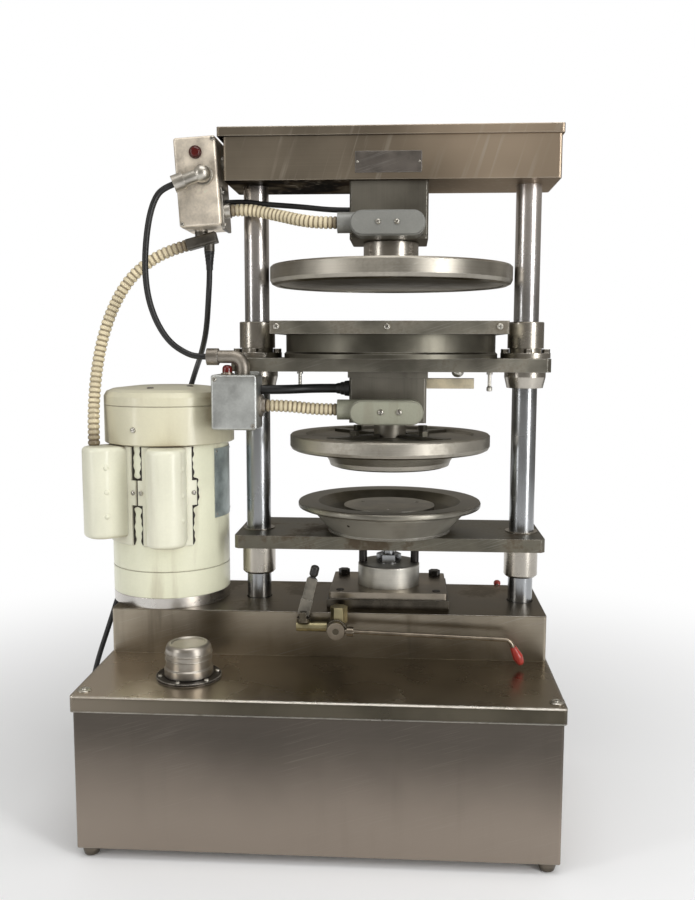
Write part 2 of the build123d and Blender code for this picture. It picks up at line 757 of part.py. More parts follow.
def mid_die():
    r = DIE_RIM_D / 2
    soft = DIE_RIM_ROUND / 3
    z_plug = z_die - PLUG_H
    outline = [(0, z_plug), (PLUG_FOOT_D / 2 - PLUG_ROUND, z_plug),
               (PLUG_FOOT_D / 2 - soft, z_plug + soft), (PLUG_FOOT_D / 2, z_plug + PLUG_ROUND),
               (PLUG_TOP_D / 2, z_die), (r - DIE_RIM_ROUND, z_die), (r - soft, z_die + soft),
               (r, z_die + DIE_RIM_ROUND), (r, z_die_top - soft), (r - soft, z_die_top),
               (DIE_DISH_D / 2, z_die_top), (DIE_DISH_D / 2 - soft, z_die_top - DIE_DISH_DEPTH),
               (DIE_HUB_D / 2, z_die_top - DIE_DISH_DEPTH), (DIE_HUB_D / 2, z_mid_housing),
               (0, z_mid_housing)]
    return turned(outline)


def mid_die_clamps():
    straps = []
    z0 = z_die_top - DIE_DISH_DEPTH
    for k in range(STRAP_COUNT):
        strap = block(STRAP_IN_R, STRAP_OUT_R, -STRAP_W / 2, STRAP_W / 2, z0, z0 + STRAP_T)
        strap += hexagon(STRAP_BOLT_D, z0 + STRAP_T, z0 + STRAP_T + STRAP_BOLT_H, STRAP_BOLT_R, 0)
        turn = 45 + k * 360 / STRAP_COUNT
        straps.append(Pos(press_x, press_y, 0) * Rot(0, 0, turn) * strap)
    return group(straps)


def pressing_block():
    soft = 1.5
    r = block_d / 2
    z_lip = z_block + BLOCK_LIP_H
    outline = [(0, z_block), (r + BLOCK_LIP, z_block), (r + BLOCK_LIP, z_lip - soft), (r, z_lip + soft),
               (r, z_press_plate), (0, z_press_plate)]
    return turned(outline)


def pressing_plate():
    w = block_d + 2 * PRESS_PLATE_OVER
    return chamfer(upright(centred(w, w, z_press_plate, z_press_top)), 2)


def upper_die():
    r = upper_die_d / 2
    soft = UPPER_DIE_ROUND / 3
    outline = [(0, z_upper_die + UPPER_DIE_RECESS), (r - UPPER_DIE_EDGE, z_upper_die + UPPER_DIE_RECESS),
               (r - UPPER_DIE_EDGE, z_upper_die), (r - UPPER_DIE_ROUND, z_upper_die),
               (r - soft, z_upper_die + soft),
               (r, z_upper_die + UPPER_DIE_ROUND), (r, z_upper_die_top - soft), (r - soft, z_upper_die_top),
               (0, z_upper_die_top)]
    return turned(outline)


def upper_die_collar():
    collar = rod(DIE_COLLAR_D, z_upper_die_top, z_upper_housing)
    return chamfer(collar.edges().filter_by(GeomType.CIRCLE), DIE_COLLAR_EDGE)


# Heater housings
def housing_box(z0, z1, extra=0):
    return centred(HOUSING_W + 2 * extra, HOUSING_D + 2 * extra, z0, z1, housing_x)


def mid_heater_housing():
    z_collar = z_mid_housing + MID_HOUSING_H
    body = chamfer(upright(housing_box(z_mid_housing, z_collar)), HOUSING_CHAMFER)
    return body + housing_box(z_collar, z_middle, HOUSING_COLLAR_EXTRA)


def upper_heater_housing():
    body = chamfer(upright(housing_box(z_upper_housing, z_head)), HOUSING_CHAMFER)
    z_foot = z_upper_housing + HOUSING_FOOT_T
    slot = housing_box(z_foot, z_foot + 1) - housing_box(z_foot, z_foot + 1, -HOUSING_CHAMFER)
    return body - slot


def conduit_body(z):
    """A cast body with round ends, a front cover and a hub for the conduit."""
    x = press_x + BODY_SHIFT_X
    shape = SlotOverall(BODY_LEN, BODY_TALL)
    cover = SlotOverall(BODY_LEN - 2 * BODY_COVER_EDGE, BODY_TALL - 2 * BODY_COVER_EDGE)
    front = Plane(origin=(x, housing_front, z), x_dir=(1, 0, 0), z_dir=(0, -1, 0))
    body = front * extrude(shape, BODY_DEEP)
    body += front.offset(BODY_DEEP) * extrude(cover, BODY_COVER_T)
    z_hub = z + BODY_HUB_UP
    hub = rod_x(BODY_HUB_D, body_left - BODY_HUB_LEN, body_left + BODY_TALL / 2, body_y, z_hub)
    return body + hub - rod_x(CONDUIT_BORE, body_left - BODY_HUB_LEN, body_left, body_y, z_hub)


def mid_conduit_body():
    return conduit_body(z_mid_body)


def upper_conduit_body():
    return conduit_body(z_upper_body)


def thermostat_probe():
    x0 = housing_x + HOUSING_W / 2
    z1 = z_middle - PROBE_DOWN
    bar = block(x0, x0 + PROBE_LEN, press_y - PROBE_THICK / 2, press_y + PROBE_THICK / 2, z1 - PROBE_TALL, z1)
    return chamfer(bar.edges().filter_by(Axis.X), 1)


# Motor
def motor_flange():
    return ring(MOTOR_FLANGE_D, SHAFT_D + 2 * FIT, z_step, z_shell, motor_x, motor_y)


def motor_shell():
    r = SHELL_D / 2
    r_shaft = SHAFT_D / 2 + FIT
    z_seam = z_shell + SHELL_SEAM_UP
    outline = [(r_shaft, z_shell), (r, z_shell), (r, z_seam), (r - SHELL_SEAM, z_seam),
               (r - SHELL_SEAM, z_seam + SHELL_SEAM), (r, z_seam + SHELL_SEAM), (r, z_shell_top),
               (r_shaft, z_shell_top), (r_shaft, z_shell_top - SHELL_END),
               (SHELL_BORE / 2, z_shell_top - SHELL_END),
               (SHELL_BORE / 2, z_shell + SHELL_END), (r_shaft, z_shell + SHELL_END)]
    return turned(outline, motor_x, motor_y)


def motor_fan_cowl():
    r = COWL_D / 2
    z_top = z_cowl + COWL_H
    z_seam = z_top - COWL_SEAM_DOWN
    r_lap = SHELL_D / 2 + FIT
    outline = [(r_lap, z_cowl), (r - 1, z_cowl), (r, z_cowl + 1), (r, z_seam), (r - SHELL_SEAM, z_seam),
               (r - SHELL_SEAM, z_seam + SHELL_SEAM), (r, z_seam + SHELL_SEAM), (r, z_top - COWL_DOME),
               (r - 4, z_top - COWL_DOME + 7), (r - 14, z_top - 5), (r / 2, z_top - 1), (0, z_top),
               (0, z_top - COWL_WALL), (r / 2, z_top - 1 - COWL_WALL), (r - 15, z_top - 5 - COWL_WALL),
               (r - COWL_WALL - 4, z_top - COWL_DOME), (r - COWL_WALL - SHELL_SEAM, z_seam - COWL_WALL),
               (r - COWL_WALL - SHELL_SEAM, z_cowl + 2 * COWL_WALL), (r_lap, z_cowl + COWL_WALL)]
    return turned(outline, motor_x, motor_y)


def capacitor_cover(turn, short):
    """A half-round pod with a flange that lies on the shell and two ears at half height."""
    z0 = z_shell + COVER_UP
    z1 = z0 + COVER_H
    z_mid = (z0 + z1) / 2 + COVER_EAR_UP
    z_foot = z0 - COVER_FLANGE_DROP
    r = SHELL_D / 2
    r_flange = r + COVER_EAR_T
    pod = block(0, r + COVER_PROUD, -COVER_W / 2, COVER_W / 2, z0 + short, z1)
    pod = fillet(upright(pod).group_by(Axis.X)[-1], COVER_ROUND)
    ends = pod.edges().group_by(Axis.Z)
    pod = fillet(ends[0].sort_by(Axis.X)[1:] + ends[-1].sort_by(Axis.X)[1:], COVER_EDGE)
    skirt = block(0, r_flange, -COVER_FLANGE_W / 2, COVER_FLANGE_W / 2, z_foot, z1)
    half = COVER_EAR_H / 2
    skirt += block(0, r_flange, -COVER_EAR_W / 2, COVER_EAR_W / 2, z_mid - half, z_mid + half)
    flange = ring(2 * r_flange, 2 * r, z_foot, z1, 0, 0) & skirt
    pod = pod + flange - rod(2 * (r + FIT), z_foot, z1, 0, 0)
    return Pos(motor_x, motor_y, 0) * Rot(0, 0, turn) * pod


def capacitor_covers():
    return group([capacitor_cover(LEFT_COVER_TURN, LEFT_COVER_SHORT), capacitor_cover(FRONT_COVER_TURN, 0)])


def motor_rotor():
    z_foot = z_pump_foot + PASS
    z_fan = z_shell_top + PASS
    z_core = (z_shell + z_shell_top - ROTOR_H) / 2
    rotor = rod(SHAFT_D, z_foot, z_fan + FAN_H, motor_x, motor_y)
    rotor += rod(SHELL_BORE - 2 * ROTOR_GAP, z_core, z_core + ROTOR_H, motor_x, motor_y)
    rotor += rod(FAN_HUB_D, z_fan, z_fan + FAN_H, motor_x, motor_y)
    blade = block(0, FAN_D / 2, -FAN_BLADE_T / 2, FAN_BLADE_T / 2, z_fan, z_fan + FAN_H)
    for k in range(FAN_BLADES):
        rotor += Pos(motor_x, motor_y, 0) * Rot(0, 0, k * 360 / FAN_BLADES) * blade
    return rotor


# Gear pump
def gear_wheel(turn):
    """A spur wheel with straight flanks, one tooth pointing along the turn angle."""
    points = []
    for k in range(GEAR_TEETH):
        mid = math.radians(turn + k * 360 / GEAR_TEETH)
        tip = GEAR_TIP_HALF / gear_tip_r
        root = GEAR_ROOT_HALF / gear_root_r
        for angle, r in ((mid - root, gear_root_r), (mid - tip, gear_tip_r), (mid + tip, gear_tip_r),
                         (mid + root, gear_root_r)):
            points.append((r * math.cos(angle), r * math.sin(angle)))
    face = make_face(Polyline(*points, close=True))
    return extrude(face, GEAR_FACE - 2 * FIT)


def pump_drive_gear():
    wheel = Pos(motor_x, motor_y, z_gear + FIT) * gear_wheel(-90)
    return wheel - rod(SHAFT_D + FIT, z_gear, z_pump, motor_x, motor_y)


def pump_driven_gear():
    wheel = Pos(motor_x, driven_y, z_gear + FIT) * gear_wheel(90 + 180 / GEAR_TEETH)
    reach = PUMP_FOOT_T / 2
    return wheel + rod(JOURNAL_D, z_gear - reach, z_pump + reach, motor_x, driven_y)


def pump_housing():
    margin = gear_tip_r + PUMP_MARGIN
    reach = PUMP_FOOT_T / 2 + PASS

    def slab(z0, z1):
        return block(motor_x - margin, motor_x + margin, driven_y - margin, motor_y + margin, z0, z1)

    top = slab(z_pump, z_cabinet_top) - rod(SHAFT_D + 2 * FIT, z_pump, z_cabinet_top, motor_x, motor_y)
    top -= rod(JOURNAL_D + 2 * FIT, z_pump, z_pump + reach, motor_x, driven_y)
    foot = slab(z_pump_foot, z_gear) - rod(SHAFT_D + 2 * FIT, z_pump_foot, z_gear, motor_x, motor_y)
    foot -= rod(JOURNAL_D + 2 * FIT, z_gear - reach, z_gear, motor_x, driven_y)
    body = slab(z_gear, z_pump)
    for y in (motor_y, driven_y):
        body -= rod(2 * (gear_tip_r + GEAR_POCKET_GAP), z_gear, z_pump, motor_x, y)
    return group([top, body, foot])


# Valve and pipework
def pipe_y():
    return step_front + SHEET + PIPE_D / 2 + PASS


def pressure_pipe():
    z_run = (z_gear + z_pump) / 2
    x_pump = motor_x + gear_tip_r + PUMP_MARGIN
    x_turn = x_pump + 2 * PIPE_BEND
    spots = [(x_pump, driven_y, z_run), (x_turn, driven_y, z_run), (x_turn, pipe_y(), z_run),
             (valve_x, pipe_y(), z_run), (valve_x, pipe_y(), z_valve)]
    path = FilletPolyline(*spots, radius=PIPE_BEND)
    start = Plane(path @ 0, z_dir=path % 0)
    return sweep(start * Circle(PIPE_D / 2), path=path)


def hydraulic_fittings():
    nipple = rod_x(NIPPLE_D, valve_x - VALVE_D / 2 - NIPPLE_LEN, valve_x - VALVE_D / 2, hand_y, z_valve)
    x_hex = valve_x + BRASS_HEX_SIDE
    y_hex = step_front - BRASS_HEX / 2 - PASS
    brass = hexagon(BRASS_HEX, z_valve + NIPPLE_D / 2, z_valve + NIPPLE_D / 2 + BRASS_HEX_H, x_hex, y_hex)
    brass -= rod_y(VALVE_D, valve_y - VALVE_LEN, step_front, valve_x, z_valve)
    z_strainer = z_pump_foot - STRAINER_DROP
    strainer = rod(STRAINER_PIPE_D, z_strainer, z_pump_foot, motor_x, driven_y)
    strainer += rod(STRAINER_D, z_strainer - STRAINER_H, z_strainer, motor_x, driven_y)
    return group([nipple, brass, strainer, pressure_pipe()])


def control_valve():
    body = rod_y(VALVE_D, valve_y, step_front, valve_x, z_valve)
    body += rod_y(VALVE_SPIGOT_D, step_front, step_front + SHEET + PASS, valve_x, z_valve)
    body += rod_y(VALVE_PIN_D, lever_y - LEVER_HUB_T / 2, valve_y, valve_x, z_valve)
    base = rod(HAND_BASE_D, z_valve + NIPPLE_D / 2, z_hand, hand_x, hand_y)
    ear_half = HAND_BLOCK_T / 2 + SEAT
    for side in (-1, 1):
        y_in = hand_y + side * ear_half
        y_out = y_in + side * HAND_EAR_T
        base += block(hand_x - HAND_PIN_D, hand_x + HAND_PIN_D, min(y_in, y_out), max(y_in, y_out),
                      z_hand - HAND_BASE_H / 2, z_hand + HAND_PIN_D * 2)
    base += rod_y(HAND_PIN_D, hand_y - ear_half, hand_y + ear_half, hand_x, z_hand + HAND_PIN_D)
    return group([body, base])


def valve_lever_rod():
    hub = rod_y(LEVER_HUB_D, lever_y - LEVER_HUB_T / 2, lever_y + LEVER_HUB_T / 2, 0, 0)
    hub -= rod_y(VALVE_PIN_D + 2 * FIT, lever_y - LEVER_HUB_T / 2, lever_y + LEVER_HUB_T / 2, 0, 0)
    nut = rod_x(LEVER_NUT_D, LEVER_NUT_X, LEVER_NUT_X + LEVER_NUT_LEN, lever_y, 0)
    turn = math.radians(LEVER_TIP_TURN)
    tip = (LEVER_REACH + LEVER_TIP * math.cos(turn), lever_y, -LEVER_TIP * math.sin(turn))
    root = (LEVER_HUB_D / 2 - 2, lever_y, 0)
    path = FilletPolyline(root, (LEVER_REACH, lever_y, 0), tip, radius=LEVER_BEND)
    start = Plane(path @ 0, z_dir=path % 0)
    bar = sweep(start * Circle(LEVER_ROD_D / 2), path=path)
    return Pos(valve_x, 0, z_valve) * Rot(0, LEVER_SLOPE, 0) * (hub + nut + bar)


def valve_lever_grip():
    outline = [(LEVER_ROD_D / 2 + FIT, 0), (GRIP_D / 2 - 3, 0), (GRIP_D / 2, GRIP_LEN * 0.6),
               (GRIP_D / 2 - 2, GRIP_LEN - 3), (GRIP_D / 4, GRIP_LEN), (0, GRIP_LEN),
               (0, LEVER_TIP - LEVER_BEND), (LEVER_ROD_D / 2 + FIT, LEVER_TIP - LEVER_BEND)]
    turn = math.radians(LEVER_TIP_TURN)
    foot = (LEVER_REACH + LEVER_BEND * math.cos(turn), lever_y, -LEVER_BEND * math.sin(turn))
    grip = Pos(*foot) * Rot(0, 90 + LEVER_TIP_TURN, 0) * turned(outline, 0, 0)
    return Pos(valve_x, 0, z_valve) * Rot(0, LEVER_SLOPE, 0) * grip


def hand_lever():
    z_pin = z_hand + HAND_PIN_D
    half = HAND_BLOCK_T / 2
    lever = block(-HAND_BLOCK_W / 2, HAND_BLOCK_W / 2, -half, half, 0, HAND_BLOCK_H)
    lever += rod_y(2 * (HAND_PIN_D - SEAT), -half, half, 0, 0)
    z_neck = HAND_ARM - HAND_KNOB_H / 2
    arm = block(-HAND_ARM_W / 2, HAND_ARM_W / 2, -HAND_ARM_T / 2, HAND_ARM_T / 2, HAND_BLOCK_H, z_neck)
    shoulders = arm.edges().filter_by(Axis.Y).group_by(Axis.Z)[-1]
    arm = chamfer(shoulders, (HAND_ARM_W - HAND_ARM_T) / 2)
    arm += rod(HAND_NECK_D, HAND_BLOCK_H, HAND_ARM, 0, 0)
    knob = fillet(rod(HAND_KNOB_D, z_neck, z_neck + HAND_KNOB_H, 0, 0).edges(), 5)
    lever = lever + arm + knob
    lever -= rod_y(HAND_PIN_D + 2 * FIT, -half, half, 0, 0)
    return Pos(hand_x, hand_y, z_pin) * Rot(0, HAND_LEAN, 0) * lever


# Junction boxes
def box_place():
    y = press_y - UPPER_BOX_FRONT + UPPER_BOX[1] / 2
    return Pos(upper_box_x, y, z_head + UPPER_BOX_MID_UP) * Rot(0, UPPER_BOX_TILT, 0)


def upper_junction_box():
    box = fillet(Box(*UPPER_BOX).edges(), BOX_ROUND)
    return box_place() * box


def exit_plane(place, spot, way):
    """The plane where a cable leaves a piece that has been put in place."""
    return Plane(place * Plane(spot, z_dir=way).location)


def side_plate_middle():
    w, d, h = UPPER_BOX
    y = SIDE_PLATE_D / 2 + SIDE_PLATE_IN - d / 2
    return Vector(w / 2, y, SIDE_PLATE_H / 2 - SIDE_PLATE_DROP - h / 2)


def side_exit(forward, up, out=SIDE_PLATE_T):
    """Where a cable leaves the box's side plate, and which way it points."""
    spot = side_plate_middle() + Vector(out, -forward, up)
    return exit_plane(box_place(), spot, (1, 0, 0))


def connector_knee():
    y = -UPPER_BOX[1] / 2 - CONNECTOR_BASE_T - CONNECTOR_NUT_LEN / 2
    return Vector(UPPER_CONN_SIDE, y, UPPER_CONN_UP)


def connector_path():
    bend = CONNECTOR_NUT_LEN
    knee = connector_knee()
    root = knee + Vector(0, (CONNECTOR_BASE_T + bend) / 2, 0)
    tip = knee + Vector(-1.5 * bend, -bend / 4, -bend / 2)
    return FilletPolyline(root, knee, tip, radius=bend / 3)


def connector_exit():
    path = connector_path()
    return exit_plane(box_place(), path @ 1 + (path % 1) * CONNECTOR_NUT_LEN, path % 1)


def upper_box_fittings():
    y_front = -UPPER_BOX[1] / 2
    base = rod_y(CONNECTOR_BASE_D, y_front - CONNECTOR_BASE_T, y_front, UPPER_CONN_SIDE, UPPER_CONN_UP)
    path = connector_path()
    tube = sweep(Plane(path @ 0, z_dir=path % 0) * Circle(CONNECTOR_D / 2), path=path)
    tube += Pos(*connector_knee()) * Sphere(CONNECTOR_BALL_D / 2)
    nut = Plane(path @ 1, z_dir=path % 1) * extrude(Circle(CONNECTOR_NUT_D / 2), CONNECTOR_NUT_LEN)
    sheet = RectangleRounded(SIDE_PLATE_H, SIDE_PLATE_D, BOX_ROUND)
    plate = Pos(*side_plate_middle()) * Rot(0, 90, 0) * extrude(sheet, SIDE_PLATE_T)
    mid = side_plate_middle()
    x_plate = mid.X + SIDE_PLATE_T
    plate += rod_x(CONDUIT_NUT_D, x_plate, x_plate + SIDE_NUT_LEN, mid.Y - SIDE_NUT_FORWARD,
                   mid.Z - SIDE_NUT_DOWN)
    return group([box_place() * (base + tube + nut), box_place() * plate, conduit_elbow(), head_nipple()])


def elbow_place():
    h = UPPER_BOX[2]
    place = Pos(ELBOW_SIDE, 0, -h / 2 - ELBOW_DROP - ELBOW_TALL / 2)
    return box_place() * place * Rot(0, ELBOW_TILT - UPPER_BOX_TILT, 0)


def conduit_elbow():
    """The angled body under the box that takes the motor conduit and the mains cord."""
    body = Box(ELBOW_LEN, ELBOW_DEEP, ELBOW_TALL)
    body = elbow_place() * fillet(body.edges().filter_by(Axis.X), BOX_ROUND)
    h = UPPER_BOX[2]
    nipple = box_place() * rod(NIPPLE_TO_HEAD_D, -h / 2 - ELBOW_DROP - ELBOW_TALL / 2, -h / 2, ELBOW_SIDE, 0)
    grip = grip_exit()
    z_exit = grip.origin.Z
    z_nut = z_exit + GRIP_NUT_LEN + ELBOW_TALL / 2
    return body + nipple + rod(GRIP_NUT_D, z_exit, z_nut, grip.origin.X, grip.origin.Y)


def grip_exit():
    centre = exit_plane(elbow_place(), (ELBOW_LEN / 4, 0, 0), (0, 0, 1))
    return Plane(centre.origin - Vector(0, 0, ELBOW_TALL / 2 + GRIP_NUT_LEN), z_dir=(0, 0, -1))


def elbow_exit():
    return exit_plane(elbow_place(), (-ELBOW_LEN / 2, 0, 0), (-1, 0, 0))


def head_nipple():
    w = UPPER_BOX[0]
    x_head = press_x - HEAD_W / 2
    nipple = box_place() * rod_x(NIPPLE_TO_HEAD_D, w / 2, w, 0, HEAD_H / 2)
    beyond = block(x_head, x_head + w, press_y - HEAD_D, press_y + HEAD_D, z_head, z_head_top)
    return nipple - beyond


def lamp(tall):
    """A round bezel with a domed lens, standing on the XY plane."""
    bezel = Cylinder(LAMP_RING_D / 2, LAMP_RING_T, align=BASE)
    lens = Pos(0, 0, LAMP_RING_T) * Cylinder(LAMP_D / 2, tall, align=BASE)
    soft = 0.8 * min(tall, LAMP_D / 2)
    return bezel + fillet(lens.edges().group_by(Axis.Z)[-1], soft)


def upper_pilot_lamp():
    place = Pos(UPPER_LAMP_SIDE, -UPPER_BOX[1] / 2, UPPER_LAMP_UP) * Rot(90, 0, 0)
    return box_place() * place * lamp(UPPER_LAMP_H)


def lower_junction_box():
    w, d, h = LOWER_BOX
    box = fillet(Box(w, d, h, align=(Align.CENTER, Align.CENTER, Align.MAX)).edges(), BOX_ROUND)
    strip_d = LOWER_BOX_BEHIND_FRONT - PASS
    strip = block(press_x - middle_w / 2 + PLATE_CORNER, lower_box_x + w / 2 - BOX_ROUND,
                  middle_front, middle_front + strip_d, z_lower_box, z_middle)
    return Pos(lower_box_x, lower_box_y, z_lower_box) * box + strip


def lower_pilot_lamp():
    return Pos(lower_box_x + LOWER_LAMP_SIDE, lower_fit_y, z_lower_box) * lamp(LOWER_LAMP_H)


def lower_box_fittings():
    z_run = z_lower_box + LOWER_ELBOW_RISE
    x_rise = lower_box_x + LOWER_ELBOW_SIDE
    x_nut = lower_elbow_end_x + CONNECTOR_NUT_LEN
    spots = [(x_rise, lower_fit_y, z_lower_box), (x_rise, lower_fit_y, z_run), (x_nut, lower_fit_y, z_run)]
    path = FilletPolyline(*spots, radius=LOWER_ELBOW_BEND)
    elbow = sweep(Plane(path @ 0, z_dir=path % 0) * Circle(CONNECTOR_D / 2), path=path)
    elbow += rod_x(CONNECTOR_NUT_D, lower_elbow_end_x, x_nut, lower_fit_y, z_run)
    x_side = lower_box_x + LOWER_BOX[0] / 2
    x_plate = x_side + ROUND_PLATE_T
    z_plate = z_lower_box - ROUND_PLATE_DOWN
    plate = rod_x(ROUND_PLATE_D, x_side, x_plate, lower_box_y, z_plate)
    plate += rod_x(CONDUIT_NUT_D, x_plate, x_plate + CONDUIT_NUT_LEN, lower_box_y, z_plate)
    return group([elbow, plate])


# Cables
def cord_path(points, name):
    """Straight runs joined by arcs, each as large as its shorter run allows."""
    spots = [Vector(*p) for p in points]
    radii = []
    for a, b, c in zip(spots, spots[1:], spots[2:]):
        turn = math.radians((b - a).get_angle(c - b))
        radii.append(CORD_SHARE * min((b - a).length, (c - b).length) / math.tan(turn / 2))
    print(name, "radii", [round(r) for r in radii])
    return FilletPolyline(*points, radius=radii)


def round_cord(points, d, name):
    path = cord_path(points, name)
    cord = sweep(Plane(path @ 0, z_dir=path % 0) * Circle(d / 2), path=path)
    share = cord.volume / (path.length * math.pi * d * d / 4)
    print(name, "length", round(path.length), "volume share", round(share, 4))
    return cord


def ribbed_conduit(points, ribs, name):
    """A flexible conduit: each rib is carried through four circles along the path."""
    path = cord_path(points, name)
    pitch = (path.length - 2 * CONDUIT_ROOT) / ribs
    stations = [(0, CONDUIT_ROOT)]
    for k in range(ribs):
        for share, d in RIB_SHAPE:
            stations.append((CONDUIT_ROOT + (k + share) * pitch, d))
    stations.append((path.length, CONDUIT_ROOT))
    hoops = []
    for s, d in stations:
        along = s / path.length
        place = Plane(path.position_at(along), x_dir=(0, 1, 0), z_dir=path.tangent_at(along))
        hoops.append(place * Circle(d / 2))
    bore = sweep(Plane(path @ 0, z_dir=path % 0) * Circle(CONDUIT_BORE / 2), path=path)
    print(name, "length", round(path.length), "rib pitch", round(pitch, 2))
    return loft(hoops, ruled=True) - bore


def route(start, drawn, end, lead):
    """A cord's points: a straight lead at each end, and the drawn points carried along between.

    The start and end planes point along the cord. The first and last drawn points are the
    ends as drawn; when an end moves, the points between move with it by their share.
    """
    spots = [Vector(*p) for p in drawn]
    last = len(spots) - 1
    off_start = start.origin - spots[0]
    off_end = end.origin - spots[last]
    inner = []
    for k in range(1, last):
        inner.append(spots[k] + off_start * (1 - k / last) + off_end * (k / last))
    first = start.origin + start.z_dir * lead
    final = end.origin - end.z_dir * lead
    return [start.origin, first] + inner + [final, end.origin]


def facing_x(x, y, z):
    return Plane((x, y, z), z_dir=(1, 0, 0))


def upper_conduit():
    drawn = [(-148, 48, 901), (-96, 45, 897), (-68, 35, 890), (-40, 22, 882), (16, 14, 877)]
    start = side_exit(SIDE_NUT_FORWARD, -SIDE_NUT_DOWN, SIDE_PLATE_T + SIDE_NUT_LEN)
    end = facing_x(body_left - BODY_HUB_LEN, body_y, z_upper_body + BODY_HUB_UP)
    return ribbed_conduit(route(start, drawn, end, UPPER_CONDUIT_LEAD), UPPER_RIBS, "upper conduit")


def mid_conduit():
    x0 = lower_box_x + LOWER_BOX[0] / 2 + ROUND_PLATE_T + CONDUIT_NUT_LEN
    start = facing_x(x0, lower_box_y, z_lower_box - ROUND_PLATE_DOWN)
    end = facing_x(body_left - BODY_HUB_LEN, body_y, z_mid_body + BODY_HUB_UP)
    points = route(start, [start.origin, end.origin], end, MID_CONDUIT_LEAD)
    return ribbed_conduit(points, MID_RIBS, "mid conduit")


def motor_conduit():
    entry = Vector(SHELL_D / 2 + COVER_ENTRY_OUT, COVER_ENTRY_SIDE, z_shell + COVER_UP + COVER_H)
    spot = Vector(motor_x, motor_y, 0) + entry.rotate(Axis.Z, LEFT_COVER_TURN)
    end = Plane(spot, z_dir=(0, 0, -1))
    drawn = [(-219, 73, 851), (-277, 69, 828), (-310, 64, 799), (-334, 57, 756), (-349, 49, 708),
             (-357, 40, 656), (-359, 31, 606), (-357, 22, 548)]
    points = route(elbow_exit(), drawn, end, MOTOR_CONDUIT_LEAD)
    return ribbed_conduit(points, MOTOR_RIBS, "motor conduit")


def upper_heater_lead():
    drawn = [(-158, 60, 913), (-98, 58, 910), (-42, 50, 905), (31, 44, 899)]
    z_end = z_upper_body + BODY_HUB_UP + BODY_HUB_D / 2 + LEAD_OVER + LEAD_D / 2
    end = facing_x(housing_left, housing_front + LEAD_D, z_end)
    start = side_exit(SIDE_LEAD_FORWARD, SIDE_LEAD_UP)
    return round_cord(route(start, drawn, end, HEATER_LEAD), LEAD_D, "upper lead")


def mid_heater_lead():
    x0 = lower_box_x + LOWER_BOX[0] / 2
    start = facing_x(x0, lower_box_back - THICK_LEAD_D, z_lower_box - MID_LEAD_DOWN)
    x1 = housing_left - BOOT_LEN
    z_end = z_mid_body + BODY_HUB_UP + BODY_HUB_D / 2 + LEAD_OVER + BOOT_D / 2
    end = facing_x(x1, housing_front + BOOT_D / 2, z_end)
    points = route(start, [start.origin, end.origin], end, THICK_LEAD)
    lead = round_cord(points, THICK_LEAD_D, "mid lead")
    boot = Pos(*end.origin) * Rot(0, 90, 0) * Cone(THICK_LEAD_D / 2, BOOT_D / 2, BOOT_LEN, align=BASE)
    return lead + boot


def loop_cable():
    drawn = [(-224, 9, 932), (-251, 4, 910), (-259, 2, 884), (-264, 0, 848), (-266, -1, 810),
             (-263, -1, 774), (-255, 0, 744), (-243, 2, 719), (-229, 5, 701), (-211, 8, 689), (-178, 10, 683)]
    end = facing_x(lower_elbow_end_x, lower_fit_y, z_lower_box + LOWER_ELBOW_RISE)
    return round_cord(route(connector_exit(), drawn, end, CORD_LEAD), CORD_D, "loop cable")


def mains_cord():
    drawn = [(-185, 73, 840), (-188, 76, 772), (-198, 104, 720), (-217, 148, 682),
             (-238, 200, 657), (-260, 228, 608), (-284, 232, 545), (-310, 228, 475), (-337, 221, 400),
             (-362, 215, 328), (-385, 212, 262), (-405, 212, 203), (-425, 214, 148), (-440, 220, 98),
             (-443, 234, 54), (-430, 252, 20), (-402, 269, 4.6), (-364, 287, 4.6), (-325, 307, 4.6),
             (-240, 323, 4.6)]
    end = facing_x(coil_x - COIL_LEAD, coil_y + coil_start_r(), coil_point(0).Z)
    return round_cord(route(grip_exit(), drawn, end, MAINS_LEAD), CORD_D, "mains cord")


def coil_start_r():
    return COIL_MEAN_R + (CORD_D + COIL_GAP) * COIL_TURNS / 8


def coil_point(turns):
    """A spiral in and out again in two layers, climbing in the half turn where it reverses."""
    step = CORD_D + COIL_GAP
    half = COIL_TURNS / 2
    r = coil_start_r() - step * (half - abs(turns - half))
    climb = min(max((turns - half) * 2 + 0.5, 0), 1)
    z = CORD_D / 2 + FIT * 2 + step * climb
    angle = math.radians(90) - 2 * math.pi * turns
    return Vector(coil_x + r * math.cos(angle), coil_y + r * math.sin(angle), z)


def biarc(p0, t0, p1, t1):
    """Two arcs that join two points and keep both directions."""
    chord = p1 - p0
    both = t0 + t1
    along = chord.dot(both)
    slack = 2 * (1 - t0.dot(t1))
    reach = (math.sqrt(along * along + slack * chord.dot(chord)) - along) / slack
    knee = (p0 + t0 * reach + p1 - t1 * reach) * 0.5
    first = TangentArc(p0, knee, tangent=t0)
    return [first, TangentArc(knee, p1, tangent=first % 1)]


